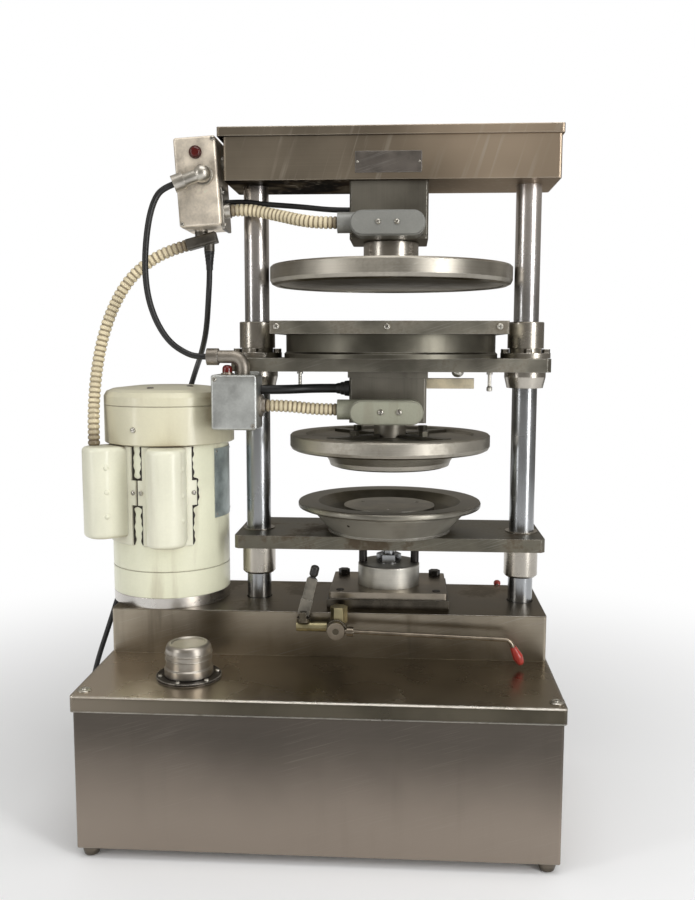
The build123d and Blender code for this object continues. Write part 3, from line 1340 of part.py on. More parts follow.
def mains_coil():
    quarters = 4 * COIL_TURNS
    small = 0.001
    spots = [coil_point(k / 4) for k in range(quarters + 1)]
    heads = []
    for k in range(quarters + 1):
        ahead = coil_point(min(k / 4 + small, COIL_TURNS))
        behind = coil_point(max(k / 4 - small, 0))
        heads.append((ahead - behind).normalized())
    heads[0] = Vector(1, 0, 0)
    heads[-1] = Vector(1, 0, 0)
    lead_in = spots[0] - heads[0] * COIL_LEAD
    lead_out = spots[-1] + heads[-1] * COIL_TAIL
    edges = [Line(lead_in, spots[0])]
    for k in range(quarters):
        edges += biarc(spots[k], heads[k], spots[k + 1], heads[k + 1])
    edges.append(Line(spots[-1], lead_out))
    path = Wire(edges)
    coil = sweep(Plane(path @ 0, z_dir=path % 0) * Circle(CORD_D / 2), path=path)
    share = coil.volume / (path.length * math.pi * CORD_D ** 2 / 4)
    print("coil length", round(path.length), "volume share", round(share, 4))
    print("coil least gap", round(coil_gap(path), 2))
    return coil


def coil_gap(path):
    """The least gap between turns, measured on points along the cord."""
    count = 400
    spots = [path.position_at(k / count) for k in range(count + 1)]
    apart = int(count / COIL_TURNS / 4)
    least = min((a - b).length for k, a in enumerate(spots) for b in spots[k + apart:])
    return least - CORD_D


def mains_plug():
    end = coil_point(COIL_TURNS)
    w, h, length = PLUG_BODY
    x0 = end.X + COIL_TAIL
    relief = Pos(x0, end.Y, end.Z) * Rot(0, 90, 0) * Cone(
        CORD_D / 2 + 1, PLUG_RELIEF_D / 2, PLUG_RELIEF_LEN, align=BASE)
    x1 = x0 + PLUG_RELIEF_LEN
    x2 = x1 + length
    body = block(x1, x2, end.Y - w / 2, end.Y + w / 2, end.Z - h / 2, end.Z + h / 2)
    body = fillet(body.edges(), BOX_ROUND)
    plug = relief + body
    thick, tall, reach = BLADE
    z_blade = end.Z + BLADE_UP
    for side in (-1, 1):
        y = end.Y + side * BLADE_GAP / 2
        plug += block(x2, x2 + reach, y - thick / 2, y + thick / 2, z_blade - tall / 2, z_blade + tall / 2)
    return plug + rod_x(EARTH_PIN_D, x2, x2 + reach, end.Y, z_blade - EARTH_PIN_DOWN)


NODES = (
    tank_cabinet, tank_lid, levelling_feet, filler_neck, filler_cap, step_housing, base_beam,
    guide_posts, post_stop_collars, crosshead_beam, crosshead_cap,
    hydraulic_cylinder, cylinder_gland, cylinder_screws, ram,
    lower_plate, lower_bearings, lower_mould, mould_floor_disc,
    middle_plate, middle_bearings, mid_die, mid_die_clamps, mid_heater_housing, mid_conduit_body,
    thermostat_probe, pressing_block, pressing_plate,
    upper_die, upper_die_collar, upper_heater_housing, upper_conduit_body,
    motor_flange, motor_shell, motor_fan_cowl, capacitor_covers, motor_rotor,
    pump_housing, pump_drive_gear, pump_driven_gear, hydraulic_fittings,
    control_valve, valve_lever_rod, valve_lever_grip, hand_lever,
    upper_junction_box, upper_box_fittings, upper_pilot_lamp,
    lower_junction_box, lower_box_fittings, lower_pilot_lamp,
    upper_conduit, mid_conduit, motor_conduit, upper_heater_lead, mid_heater_lead,
    loop_cable, mains_cord, mains_coil, mains_plug,
)

# The origin lies under the middle of the whole press, its free cord left out
x_left = capacitor_covers().bounding_box().min.X
x_right = press_x + HEAD_W / 2 + CAP_OVERHANG
y_back = press_y + upper_die_d / 2
middle = Pos(-(x_left + x_right) / 2, -(y_back - BASE_D / 2) / 2, 0)
print("base centre stands at", middle.position)

for make in NODES:
    export_step(middle * make(), f"parts/{make.__name__}.step")
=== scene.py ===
import logging
import math
from dataclasses import dataclass, field, replace
from enum import Enum
from typing import Optional, Sequence, Union

import bmesh
import bpy
import numpy as np
from mathutils import Matrix


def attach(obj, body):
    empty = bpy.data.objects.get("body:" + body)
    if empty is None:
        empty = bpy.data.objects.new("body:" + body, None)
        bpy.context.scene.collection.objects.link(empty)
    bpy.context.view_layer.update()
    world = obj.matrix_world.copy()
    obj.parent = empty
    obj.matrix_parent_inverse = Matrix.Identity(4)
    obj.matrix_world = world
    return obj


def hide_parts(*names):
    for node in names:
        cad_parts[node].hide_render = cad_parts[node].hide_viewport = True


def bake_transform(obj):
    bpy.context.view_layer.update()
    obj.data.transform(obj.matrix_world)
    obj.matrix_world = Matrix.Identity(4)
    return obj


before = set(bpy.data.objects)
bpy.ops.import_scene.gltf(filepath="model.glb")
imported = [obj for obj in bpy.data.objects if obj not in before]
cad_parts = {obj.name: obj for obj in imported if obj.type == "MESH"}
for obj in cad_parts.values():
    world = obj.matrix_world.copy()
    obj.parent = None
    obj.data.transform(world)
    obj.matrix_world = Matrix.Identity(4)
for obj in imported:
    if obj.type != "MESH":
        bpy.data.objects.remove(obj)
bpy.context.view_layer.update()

LOG = logging.getLogger("tart_press")

# Places in millimetres, counted from the middle of the base, which lies here in the shared frame.
BASE_MIDDLE = np.array([15.7885, -45.5, 0.0])
PRESS_AXIS = (92.0, 91.0)
MOTOR_AXIS = (-257.0, 92.0)
FILLER_AXIS = (-188.0, -97.0)
LID_LIP_TOP = 229.0
LID_TOP = 231.0
STEP_TOP = 298.5
RISER_TOP = 315.2
MOULD_RIM_LOW = 443.5
LAMP_RING_TOP = 660.0
ELBOW_TOP = 872.0
UPPER_LENS = (-195.6, 25.0, 982.0)
LEVER_KNOB = (-16.6, -13.0, 366.0)

# Metres within which points are joined, and under which a face is dropped.
JOIN_WITHIN = 2e-6
THINNEST_FACE = 1e-7

Triple = tuple[float, float, float]
Colour = Triple
Socket = bpy.types.NodeSocket
Feed = Union[float, Sequence[float], Socket]


class Way(Enum):
    """The side that a screw or a plate faces."""

    UP = (0.0, 0.0, 1.0)
    DOWN = (0.0, 0.0, -1.0)
    FRONT = (0.0, -1.0, 0.0)
    BACK = (0.0, 1.0, 0.0)
    RIGHT = (1.0, 0.0, 0.0)


class Drive(Enum):
    """The recess in a screw's head."""

    SLOT = "slot"
    CROSS = "cross"
    PLAIN = "plain"


class Body(Enum):
    """The moving bodies that pieces ride on."""

    FRAME = "frame"
    MIDDLE = "middle_platen"
    LOWER = "lower_platen"
    CAP = "filler_cap"


def spot(x: float, y: float, z: float) -> np.ndarray:
    """Millimetres from the middle of the base, as metres in the shared frame."""
    return (np.array([x, y, z]) + BASE_MIDDLE) / 1000


def facing(direction: Sequence[float]) -> np.ndarray:
    """Three square axes from a direction.

    Args:
        direction: where the last axis points.

    Returns:
        The axes, as rows.
    """
    height = np.asarray(direction, float) / np.linalg.norm(direction)
    side = np.array([0.0, 1.0, 0.0]) if abs(height[2]) > 0.9 else np.array([0.0, 0.0, 1.0])
    across = np.cross(side, height)
    across /= np.linalg.norm(across)
    return np.stack([across, np.cross(height, across), height])


def round_motor(angle: float) -> Triple:
    """The direction that points out from the motor's axis at an angle in degrees."""
    return math.cos(math.radians(angle)), math.sin(math.radians(angle)), 0.0


def on_motor(angle: float, radius: float, z: float) -> np.ndarray:
    """A place on a cylinder round the motor's axis, from millimetres and degrees."""
    out = round_motor(angle)
    return spot(MOTOR_AXIS[0] + radius * out[0], MOTOR_AXIS[1] + radius * out[1], z)


def ring_angles(count: int) -> np.ndarray:
    """Even angles once round, in radians, without the last one that meets the first."""
    return np.linspace(0, 2 * np.pi, count, endpoint=False)


def add_object(name: str, data: bpy.types.ID) -> bpy.types.Object:
    """Put a mesh, a curve, a lamp or a camera into the scene.

    Args:
        name: the object's name.
        data: what it shows.

    Returns:
        The object.
    """
    made = bpy.data.objects.new(name, data)
    bpy.context.scene.collection.objects.link(made)
    return made


def pose_of(axes: Sequence[np.ndarray], place: Sequence[float]) -> Matrix:
    """The pose of a camera or a lamp.

    Args:
        axes: its three axes, as rows.
        place: where it stands, in metres.

    Returns:
        The matrix that takes it there.
    """
    made = np.eye(4)
    made[:3, :3], made[:3, 3] = np.transpose(axes), place
    return Matrix(made.tolist())


@dataclass
class Surface:
    """A grid of points, rows by columns, whose columns may join up into a ring."""

    points: np.ndarray
    ring: bool = True
    marks: dict[str, np.ndarray] = field(default_factory=dict)

    def placed(self, at: np.ndarray, direction: Sequence[float], turn: float = 0.0) -> "Surface":
        """Turn a grid in millimetres so that its height follows a direction, and set it down.

        Args:
            at: the place of the grid's own origin, in metres.
            direction: where the grid's height points.
            turn: the turn about its height, in degrees.

        Returns:
            The grid in metres in the shared frame.
        """
        c, s = math.cos(math.radians(turn)), math.sin(math.radians(turn))
        spin = np.array([[c, s, 0.0], [-s, c, 0.0], [0.0, 0.0, 1.0]])
        return Surface(self.points / 1000 @ spin @ facing(direction) + at, self.ring, self.marks)

    def grounded(self) -> "Surface":
        """Take a grid drawn in millimetres from the base's middle to the shared frame."""
        return Surface((self.points + BASE_MIDDLE) / 1000, self.ring, self.marks)

    def faces(self, first: int) -> np.ndarray:
        """Four-sided faces between neighbouring rows and columns.

        Args:
            first: the number of the grid's first point.

        Returns:
            Four point numbers for each face.
        """
        rows, columns = self.points.shape[:2]
        ids = first + np.arange(rows * columns).reshape(rows, columns)
        if self.ring:
            ids = np.hstack([ids, ids[:, :1]])
        corners = [ids[:-1, :-1], ids[:-1, 1:], ids[1:, 1:], ids[1:, :-1]]
        return np.stack(corners, axis=-1).reshape(-1, 4)


def turned(profile: Sequence[Sequence[float]], around: int = 40) -> Surface:
    """A turned solid: each radius and height of the profile goes once round the axis.

    Args:
        profile: pairs of radius and height.
        around: how many points go round.

    Returns:
        The grid, with a row for each pair.
    """
    line = np.asarray(profile, float)
    angle = ring_angles(around)
    high = np.repeat(line[:, 1:], around, axis=1)
    return Surface(np.stack([line[:, :1] * np.cos(angle), line[:, :1] * np.sin(angle), high], axis=-1))


def pan_head(width: float, height: float, drive: Drive) -> list[Surface]:
    """A domed screw head on a square grid pulled out to a circle.

    Its height is height * sqrt(1 - r^4), less the recess where the grid lies in the drive.

    Args:
        width: the head's width.
        height: its height.
        drive: the recess in it.

    Returns:
        Its domed top and its flat underside.
    """
    half, reach, floor = 0.13, 0.53, 0.4
    ticks = np.array([half, half + 0.02, 0.3, 0.52, 0.55, 0.75, 0.9, 1.0])
    ticks = np.concatenate([-ticks[::-1], ticks])
    u, v = np.meshgrid(ticks, ticks, indexing="ij")
    square = np.maximum(abs(u), abs(v))
    pull = 1 + (square / np.hypot(u, v) - 1) * square ** 3
    x, y = u * pull, v * pull
    high = height * np.sqrt(np.clip(1 - np.hypot(x, y) ** 4, 0, 1))
    groove = abs(v) <= half
    cross = (groove & (abs(u) <= reach)) | ((abs(u) <= half) & (abs(v) <= reach))
    recess = {Drive.SLOT: groove, Drive.CROSS: cross, Drive.PLAIN: groove & False}[drive]
    high = np.where(recess, np.minimum(high, height * floor), high)
    top = np.stack([x * width / 2, y * width / 2, high], axis=-1)
    return [Surface(top, ring=False), Surface(top * (1, 1, 0), ring=False)]


def heads(width: float, height: float, drive: Drive, seats: Sequence[tuple]) -> list[Surface]:
    """Screw heads of one size.

    Args:
        width: the heads' width.
        height: their height.
        drive: the recess in them.
        seats: the place and the direction of each one, and its turn in degrees if it has one.

    Returns:
        The grids of all heads.
    """
    parts = pan_head(width, height, drive)
    return [part.placed(*seat) for seat in seats for part in parts]


def plate(width: float, height: float, thick: float, corner: float) -> Surface:
    """A flat plate: a rectangle's outline with a quarter circle in each corner, drawn in to
    the middle on both faces, with a soft edge on the front.

    Args:
        width: its width.
        height: its height.
        thick: its thickness.
        corner: the radius of its corners.

    Returns:
        The closed grid.
    """
    around = 40
    angle = (np.arange(around) + 0.5) * 2 * np.pi / around
    unit = np.stack([np.cos(angle), np.sin(angle)], axis=-1)
    outline = np.sign(unit) * (width / 2 - corner, height / 2 - corner) + corner * unit
    soft = thick * 0.35
    rows = [outline * 0, outline, outline, outline - soft * unit, outline * 0]
    high = np.array([0, 0, thick - soft, thick, thick])[:, None, None] + 0 * outline[None, :, :1]
    return Surface(np.concatenate([np.stack(rows), high], axis=-1))


def shell(outer: np.ndarray, inner: np.ndarray) -> Surface:
    """A thin closed sheet between two grids, whose rim folds over half way between them.

    Args:
        outer: the grid of its outer face.
        inner: the grid of its inner face.

    Returns:
        The closed grid.
    """
    sides = np.concatenate([outer, inner[:, ::-1]], axis=1)
    middle = (outer + inner) / 2
    ends = np.concatenate([middle, middle[:, ::-1]], axis=1)
    return Surface(np.concatenate([ends[:1], sides, ends[-1:]]))


def swept(line: np.ndarray, radius: np.ndarray, around: int = 20) -> Surface:
    """A round tube: rings stand square to a line, kept from twisting by the front-to-back
    direction, and both ends close on the line.

    Args:
        line: the points that it follows.
        radius: the radius at each point.
        around: how many points go round.

    Returns:
        The closed grid.
    """
    run = np.gradient(line, axis=0)
    run /= np.linalg.norm(run, axis=1, keepdims=True)
    depth = np.array(Way.BACK.value)
    across = depth - (run @ depth)[:, None] * run
    across /= np.linalg.norm(across, axis=1, keepdims=True)
    other = np.cross(run, across)
    angle = ring_angles(around)[None, :, None]
    rings = across[:, None] * np.cos(angle) + other[:, None] * np.sin(angle)
    points = line[:, None] + np.asarray(radius)[:, None, None] * rings
    ends = [np.repeat(line[i:i + 1, None], around, axis=1) for i in (0, len(line) - 1)]
    return Surface(np.concatenate([ends[0], points, ends[1]]))


def make_piece(name: str, surfaces: Sequence[Surface], body: Optional[Body], finish: "Finish",
               sharp: float = 35.0) -> bpy.types.Object:
    """Put grids into one mesh, join their seams, and let it ride on a body.

    Args:
        name: the piece's name.
        surfaces: the grids, in metres in the shared frame.
        body: the body that it moves with, or none.
        finish: what it is made of.
        sharp: the angle in degrees past which an edge is kept sharp.

    Returns:
        The new object.
    """
    counts = [s.points.shape[0] * s.points.shape[1] for s in surfaces]
    firsts = np.concatenate([[0], np.cumsum(counts)[:-1]])
    points = np.concatenate([s.points.reshape(-1, 3) for s in surfaces])
    faces = np.concatenate([s.faces(int(first)) for s, first in zip(surfaces, firsts)])
    mesh = bpy.data.meshes.new(name)
    mesh.from_pydata(points.tolist(), [], faces.tolist())
    for label in surfaces[0].marks:
        layer = mesh.attributes.new(label, "FLOAT", "POINT")
        layer.data.foreach_set("value", np.concatenate([s.marks[label].ravel() for s in surfaces]))
    shape = bmesh.new()
    shape.from_mesh(mesh)
    bmesh.ops.remove_doubles(shape, verts=shape.verts, dist=JOIN_WITHIN)
    bmesh.ops.dissolve_degenerate(shape, edges=shape.edges, dist=THINNEST_FACE)
    bmesh.ops.recalc_face_normals(shape, faces=shape.faces)
    shape.to_mesh(mesh)
    shape.free()
    mesh.shade_smooth()
    mesh.set_sharp_from_angle(angle=math.radians(sharp))
    piece = add_object(name, mesh)
    mesh.materials.append(finish.material())
    if body:
        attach(piece, body.value)
    LOG.info("%s: %d faces", name, len(mesh.polygons))
    return piece


class Sketch:
    """Lays nodes in one node tree."""

    def __init__(self, tree: bpy.types.NodeTree) -> None:
        """Keep the tree that the nodes go in."""
        self.tree = tree

    @classmethod
    def clear(cls, owner: Union[bpy.types.Material, bpy.types.World]) -> "Sketch":
        """Start afresh in the node tree of a material or of the world."""
        owner.use_nodes = True
        owner.node_tree.nodes.clear()
        return cls(owner.node_tree)

    def feed(self, socket: Socket, value: Feed) -> None:
        """Link a socket to another one, or write a plain value in it.

        Args:
            socket: the input.
            value: another node's output, or a number, a vector or a colour.
        """
        if isinstance(value, bpy.types.NodeSocket):
            self.tree.links.new(value, socket)
        elif socket.type == "RGBA":
            socket.default_value = (*value, 1.0)
        else:
            socket.default_value = value

    def new(self, kind: str, **options: object) -> bpy.types.Node:
        """Add a shader node.

        Args:
            kind: the kind of node, without the words that all kinds start with.
            options: the node's own settings.

        Returns:
            The node.
        """
        node = self.tree.nodes.new("ShaderNode" + kind)
        for name, option in options.items():
            setattr(node, name, option)
        return node

    def fill(self, node: bpy.types.Node, *values: Feed, **named: Feed) -> bpy.types.Node:
        """Feed a node's inputs.

        Args:
            node: the node.
            values: what goes into its first inputs, in turn.
            named: what goes into its other inputs, with _ for a space in their names.

        Returns:
            The same node.
        """
        for socket, value in zip(node.inputs, values):
            self.feed(socket, value)
        for name, value in named.items():
            self.feed(node.inputs[name.replace("_", " ")], value)
        return node

    def add(self, kind: str, **named: Feed) -> bpy.types.Node:
        """Add a shader node and feed its inputs by name."""
        return self.fill(self.new(kind), **named)

    def math(self, operation: str, *values: Feed, clamp: bool = False) -> Socket:
        """Work out one number from others."""
        return self.fill(self.new("Math", operation=operation, use_clamp=clamp), *values).outputs[0]

    def vector(self, operation: str, *values: Feed) -> bpy.types.Node:
        """Work out a vector or its length from others."""
        return self.fill(self.new("VectorMath", operation=operation), *values)

    def ramp(self, value: Socket, low: Feed, high: Feed) -> Socket:
        """Rise softly from 0 at low to 1 at high."""
        node = self.new("MapRange", interpolation_type="SMOOTHSTEP")
        return self.fill(node, value, low, high).outputs["Result"]

    def blend(self, share: Feed, first: Feed, second: Feed, way: str = "MIX") -> Socket:
        """Mix two colours; a mix node has them at its inputs 6 and 7.

        Args:
            share: how much of the second one.
            first: the first colour.
            second: the second colour.
            way: how they are mixed.

        Returns:
            The mixed colour's socket.
        """
        node = self.new("Mix", data_type="RGBA", blend_type=way)
        for index, value in ((0, share), (6, first), (7, second)):
            self.feed(node.inputs[index], value)
        return node.outputs[2]

    def tint(self, colour: Feed, mask: Socket, most: float, toward: Colour) -> Socket:
        """Draw a colour toward another one, by up to the given share where the mask is full."""
        return self.blend(self.math("MULTIPLY", mask, most), colour, toward)

    def noise(self, place: Socket, scale: Feed, detail: float = 3.0) -> Socket:
        """A cloud of values about one half."""
        return self.add("TexNoise", Vector=place, Scale=scale, Detail=detail).outputs["Fac"]

    def effect(self, effect: "Effect", *values: Feed) -> bpy.types.NodeOutputs:
        """Place one of the shared effects with its own values, and give its outputs."""
        return self.fill(self.new("Group", node_tree=EffectBook.tree(effect)), *values).outputs


class Effect(Enum):
    """The surface effects that several finishes share: a name, the inputs and the outputs."""

    GRAIN = ("brushed grain", "Place Stretch", "Grain")
    CLOUDS = ("uneven tone", "Place Size", "Mask")
    EDGES = ("worn edges", "Place Reach", "Edge Normal")
    CORNER_SHADE_AND_GRIME = ("dirt in corners", "Place Reach", "Dirt")
    SCRATCHES = ("scratches", "Place Turn Stretch", "Lines")
    RINGS = ("turning rings", "Place Centre Size", "Rings")
    DRIPS = ("run marks", "Place", "Runs")
    FADE = ("slow change of tone", "Place Toward Start", "Mask")
    UNDER = ("faces that look down", "Place", "Mask")
    SPOTS = ("old stains", "Place", "Mask")


class EffectBook:
    """Draws each shared effect once, as a node group.

    The method with an effect's name draws it: it takes the group's sketch and the sockets of
    the effect's inputs, and gives the sockets for its outputs.
    """

    VECTORS = ("Place", "Stretch", "Turn", "Centre", "Toward", "Normal")

    @classmethod
    def tree(cls, effect: Effect) -> bpy.types.NodeTree:
        """Give an effect's node group, drawing it the first time.

        Args:
            effect: which effect it is.

        Returns:
            The group.
        """
        title, takes, gives = effect.value
        found = bpy.data.node_groups.get(title)
        if found:
            return found
        made = bpy.data.node_groups.new(title, "ShaderNodeTree")
        for names, side in ((takes, "INPUT"), (gives, "OUTPUT")):
            for name in names.split():
                kind = "NodeSocketVector" if name in cls.VECTORS else "NodeSocketFloat"
                made.interface.new_socket(name, in_out=side, socket_type=kind)
        start, end = made.nodes.new("NodeGroupInput"), made.nodes.new("NodeGroupOutput")
        s = Sketch(made)
        draw = getattr(cls, effect.name.lower())
        s.fill(end, *draw(s, *(start.outputs[name] for name in takes.split())))
        return made

    @staticmethod
    def grain(s: Sketch, place: Socket, stretch: Socket) -> list[Socket]:
        """Noise drawn out by a stretch along each axis."""
        return [s.noise(s.vector("MULTIPLY", place, stretch).outputs[0], 1.0, 4.0)]

    @staticmethod
    def clouds(s: Sketch, place: Socket, size: Socket) -> list[Socket]:
        """Soft large patches of noise."""
        return [s.ramp(s.noise(place, size, 5.0), 0.3, 0.7)]

    @staticmethod
    def edges(s: Sketch, place: Socket, reach: Socket) -> list[Socket]:
        """Where the rounded normal leaves the true one, broken up by noise; and that normal. Finishes tint edges there
        toward a colour that is partly wear and partly a painted highlight.
        """
        soft = s.fill(s.new("Bevel", samples=4), reach).outputs["Normal"]
        true = s.new("NewGeometry").outputs["Normal"]
        bend = s.vector("DOT_PRODUCT", soft, true).outputs["Value"]
        edge = s.ramp(s.math("SUBTRACT", 1.0, bend), 0.01, 0.16)
        broken = s.ramp(s.noise(place, 45.0, 3.0), 0.15, 0.5)
        return [s.math("MULTIPLY", edge, broken), soft]

    @staticmethod
    def corner_shade_and_grime(s: Sketch, place: Socket, reach: Socket) -> list[Socket]:
        """How far a place is shut in by its neighbours, broken up by noise: painted shade in corners and recesses,
        which stands for grime there too.
        """
        shut = s.fill(s.new("AmbientOcclusion", samples=6), Distance=reach)
        dirt = s.ramp(s.math("SUBTRACT", 1.0, shut.outputs["AO"]), 0.2, 0.85)
        patchy = s.ramp(s.noise(place, 35.0, 4.0), 0.15, 0.75)
        return [s.math("MULTIPLY", dirt, patchy)]

    @staticmethod
    def scratches(s: Sketch, place: Socket, turn: Socket, stretch: Socket) -> list[Socket]:
        """Thin long streaks: noise drawn out far along one turned axis, above a threshold."""
        spun = s.fill(s.new("VectorRotate", rotation_type="EULER_XYZ"), Vector=place, Rotation=turn)
        drawn = s.vector("MULTIPLY", spun.outputs[0], stretch).outputs[0]
        fine = s.ramp(s.noise(drawn, 1.0, 2.0), 0.54, 0.74)
        where = s.ramp(s.noise(place, 9.0, 2.0), 0.38, 0.62)
        return [s.math("MULTIPLY", fine, where)]

    @staticmethod
    def rings(s: Sketch, place: Socket, centre: Socket, size: Socket) -> list[Socket]:
        """Noise of the distance from an upright axis and of the height."""
        away = s.vector("SUBTRACT", place, centre).outputs[0]
        flat = s.vector("MULTIPLY", away, (1.0, 1.0, 0.0)).outputs[0]
        far = s.vector("LENGTH", flat).outputs["Value"]
        line = s.add("CombineXYZ", X=far, Y=s.add("SeparateXYZ", Vector=away).outputs["Z"])
        return [s.noise(line.outputs[0], size, 3.0)]

    @staticmethod
    def drips(s: Sketch, place: Socket) -> list[Socket]:
        """Upright streaks: noise squeezed sideways and drawn out along the height."""
        drawn = s.vector("MULTIPLY", place, (45.0, 45.0, 5.0)).outputs[0]
        runs = s.ramp(s.noise(drawn, 1.0, 4.0), 0.5, 0.75)
        where = s.ramp(s.noise(place, 4.0, 2.0), 0.4, 0.7)
        return [s.math("MULTIPLY", runs, where)]

    @staticmethod
    def fade(s: Sketch, place: Socket, toward: Socket, start: Socket) -> list[Socket]:
        """A soft rise from 0 to 1 of the place's share along a direction, made wavy by noise."""
        share = s.vector("DOT_PRODUCT", place, toward).outputs["Value"]
        wavy = s.math("MULTIPLY_ADD", s.math("SUBTRACT", s.noise(place, 5.0), 0.5), 0.5, share)
        return [s.ramp(s.math("SUBTRACT", wavy, start), 0.0, 1.0)]

    @staticmethod
    def spots(s: Sketch, place: Socket) -> list[Socket]:
        """Blots with ragged rims: the highest parts of a noise, broken by a finer one."""
        fine = s.math("SUBTRACT", s.noise(place, 160.0, 3.0), 0.5)
        return [s.ramp(s.math("MULTIPLY_ADD", fine, 0.25, s.noise(place, 14.0, 5.0)), 0.53, 0.68)]

    @staticmethod
    def under(s: Sketch, place: Socket) -> list[Socket]:
        """How far a face looks down, broken up by noise: the mask for painted shading of undersides."""
        rise = s.add("SeparateXYZ", Vector=s.new("NewGeometry").outputs["Normal"]).outputs["Z"]
        patchy = s.ramp(s.noise(place, 22.0, 4.0), 0.05, 0.6)
        return [s.math("MULTIPLY", s.ramp(rise, -0.35, -0.9), patchy)]


# How much rougher clouds and soil make a surface, how deep its grain goes, and half of the
# soft line between two finishes, the last two in metres.
CLOUD_ROUGH = 0.3
SOIL_ROUGH = 0.25
BUMP_DEEP = 0.0004
LINE_HALF = 0.0003


@dataclass
class Layers:
    """What a finish puts on a surface."""

    colour: Socket
    rough: Socket
    normal: Socket
    metal: Union[float, Socket]


@dataclass(frozen=True)
class Finish:
    """A surface finish: a tone with clouds and grain, grime and painted shade in its corners, edges tinted for wear
    and painted highlight.
    """

    name: str
    slot: str
    colour: Colour
    rough: float
    metal: float = 0.0
    # Edge colour: partly wear, partly a painted highlight along rounded edges; scratches use it too.
    worn: Colour = (0.6, 0.58, 0.54)
    # Colour of stains, and of painted shade in corners and between ribs.
    stain_and_shade: Colour = (0.05, 0.042, 0.03)
    edge: float = 0.6
    edge_reach: float = 0.0012
    # How far corners and recesses are darkened: partly grime, partly painted shade.
    dirt: float = 0.6
    grime_and_shade_reach: float = 0.02
    cloud: float = 0.3
    cloud_size: float = 9.0
    grain: Triple = (300.0, 300.0, 300.0)
    grain_tone: float = 0.05
    bump: float = 0.08
    scratch: float = 0.0
    scratch_turn: Triple = (0.0, 0.3, 0.0)
    scratch_stretch: Triple = (12.0, 700.0, 700.0)
    drip: float = 0.0
    # Painted shading on faces that look down, and the colour it tints toward: darker on most finishes, lighter on the
    # mould body.
    under: float = 0.0
    underside_shading_colour: Colour = (0.05, 0.042, 0.03)
    spot: float = 0.0
    # A slow change of tone across a piece: painted light, shade and reflection on the sheets, crosshead and posts;
    # brown staining on the motor.
    fade: float = 0.0
    fade_colour: Colour = (0.5, 0.45, 0.38)
    fade_toward: Triple = (2.0, 0.0, 0.0)
    fade_start: float = 0.0
    ring_at: Optional[tuple[float, float]] = None
    ring_size: float = 700.0
    coat: float = 0.0
    grazing: float = 1.0

    def tone(self, s: Sketch, grain: Socket, cloud: Socket) -> Socket:
        """The clean colour, lighter and darker by cloud and grain.

        Args:
            s: the sketch it is drawn in.
            grain: the fine grain about one half.
            cloud: the large patches from 0 to 1.

        Returns:
            The colour's socket.
        """
        uneven = s.math("MULTIPLY_ADD", cloud, 2 * self.cloud, 1 - self.cloud)
        uneven = s.math("MULTIPLY_ADD", s.math("SUBTRACT", grain, 0.5), 4 * self.grain_tone, uneven)
        return s.blend(1.0, self.colour, uneven, "MULTIPLY")

    def layers(self, s: Sketch) -> Layers:
        """Draw the finish's colour, roughness and normal, from the clean tone up to edges tinted for wear and painted
        highlight.

        Args:
            s: the sketch of the material.

        Returns:
            The sockets for the shader.
        """
        place = s.new("TexCoord").outputs["Object"]
        if self.ring_at:
            centre = tuple(spot(*self.ring_at, 0))
            grain = s.effect(Effect.RINGS, place, centre, self.ring_size)[0]
        else:
            grain = s.effect(Effect.GRAIN, place, self.grain)[0]
        cloud = s.effect(Effect.CLOUDS, place, self.cloud_size)[0]
        edges = s.effect(Effect.EDGES, place, self.edge_reach)
        colour, height = self.tone(s, grain, cloud), grain
        rough = s.math("MULTIPLY_ADD", s.math("SUBTRACT", cloud, 0.5), CLOUD_ROUGH * self.rough, self.rough)
        # Painted shading on faces that look down: darker on most finishes, lighter on the mould body as a painted
        # reflection.
        if self.under:
            colour = s.tint(colour, s.effect(Effect.UNDER, place)[0], self.under, self.underside_shading_colour)
        # The slow tone change paints light, shade and reflection on the sheets, crosshead and posts, and brown
        # staining on the motor.
        if self.fade:
            far = s.effect(Effect.FADE, place, self.fade_toward, self.fade_start)[0]
            colour = s.tint(colour, far, self.fade, self.fade_colour)
        if self.scratch:
            lines = s.effect(Effect.SCRATCHES, place, self.scratch_turn, self.scratch_stretch)[0]
            colour = s.tint(colour, lines, self.scratch, self.worn)
            height = s.math("SUBTRACT", height, lines)
        # Drips and spots are stains; the corner mask is partly grime and partly painted shade.
        stains_and_shade = ((Effect.DRIPS, self.drip, ()), (Effect.SPOTS, self.spot, ()),
                 (Effect.CORNER_SHADE_AND_GRIME, self.dirt, (self.grime_and_shade_reach,)))
        for effect, share, values in stains_and_shade:
            if share:
                mask = s.effect(effect, place, *values)[0]
                colour = s.tint(colour, mask, share, self.stain_and_shade)
                rough = s.math("MULTIPLY_ADD", mask, SOIL_ROUGH * share, rough)
        # Edges are tinted partly as wear and partly as a painted highlight.
        colour = s.tint(colour, edges["Edge"], self.edge, self.worn)
        bump = s.add("Bump", Strength=self.bump, Distance=BUMP_DEEP, Height=height, Normal=edges["Normal"])
        return Layers(colour, s.math("MINIMUM", rough, 1.0, clamp=True), bump.outputs[0], self.metal)

    def material(self) -> bpy.types.Material:
        """Build the material once and give it.

        Returns:
            The material, the same one for every piece with this finish.
        """
        found = bpy.data.materials.get(self.name)
        if found:
            return found
        made = bpy.data.materials.new(self.name)
        s = Sketch.clear(made)
        layers = self.layers(s)
        shader = s.add("BsdfPrincipled", Base_Color=layers.colour, Roughness=layers.rough,
                       Normal=layers.normal, Metallic=layers.metal, Coat_Weight=self.coat,
                       Specular_Tint=(self.grazing,) * 3)
        s.add("OutputMaterial", Surface=shader.outputs[0])
        return made


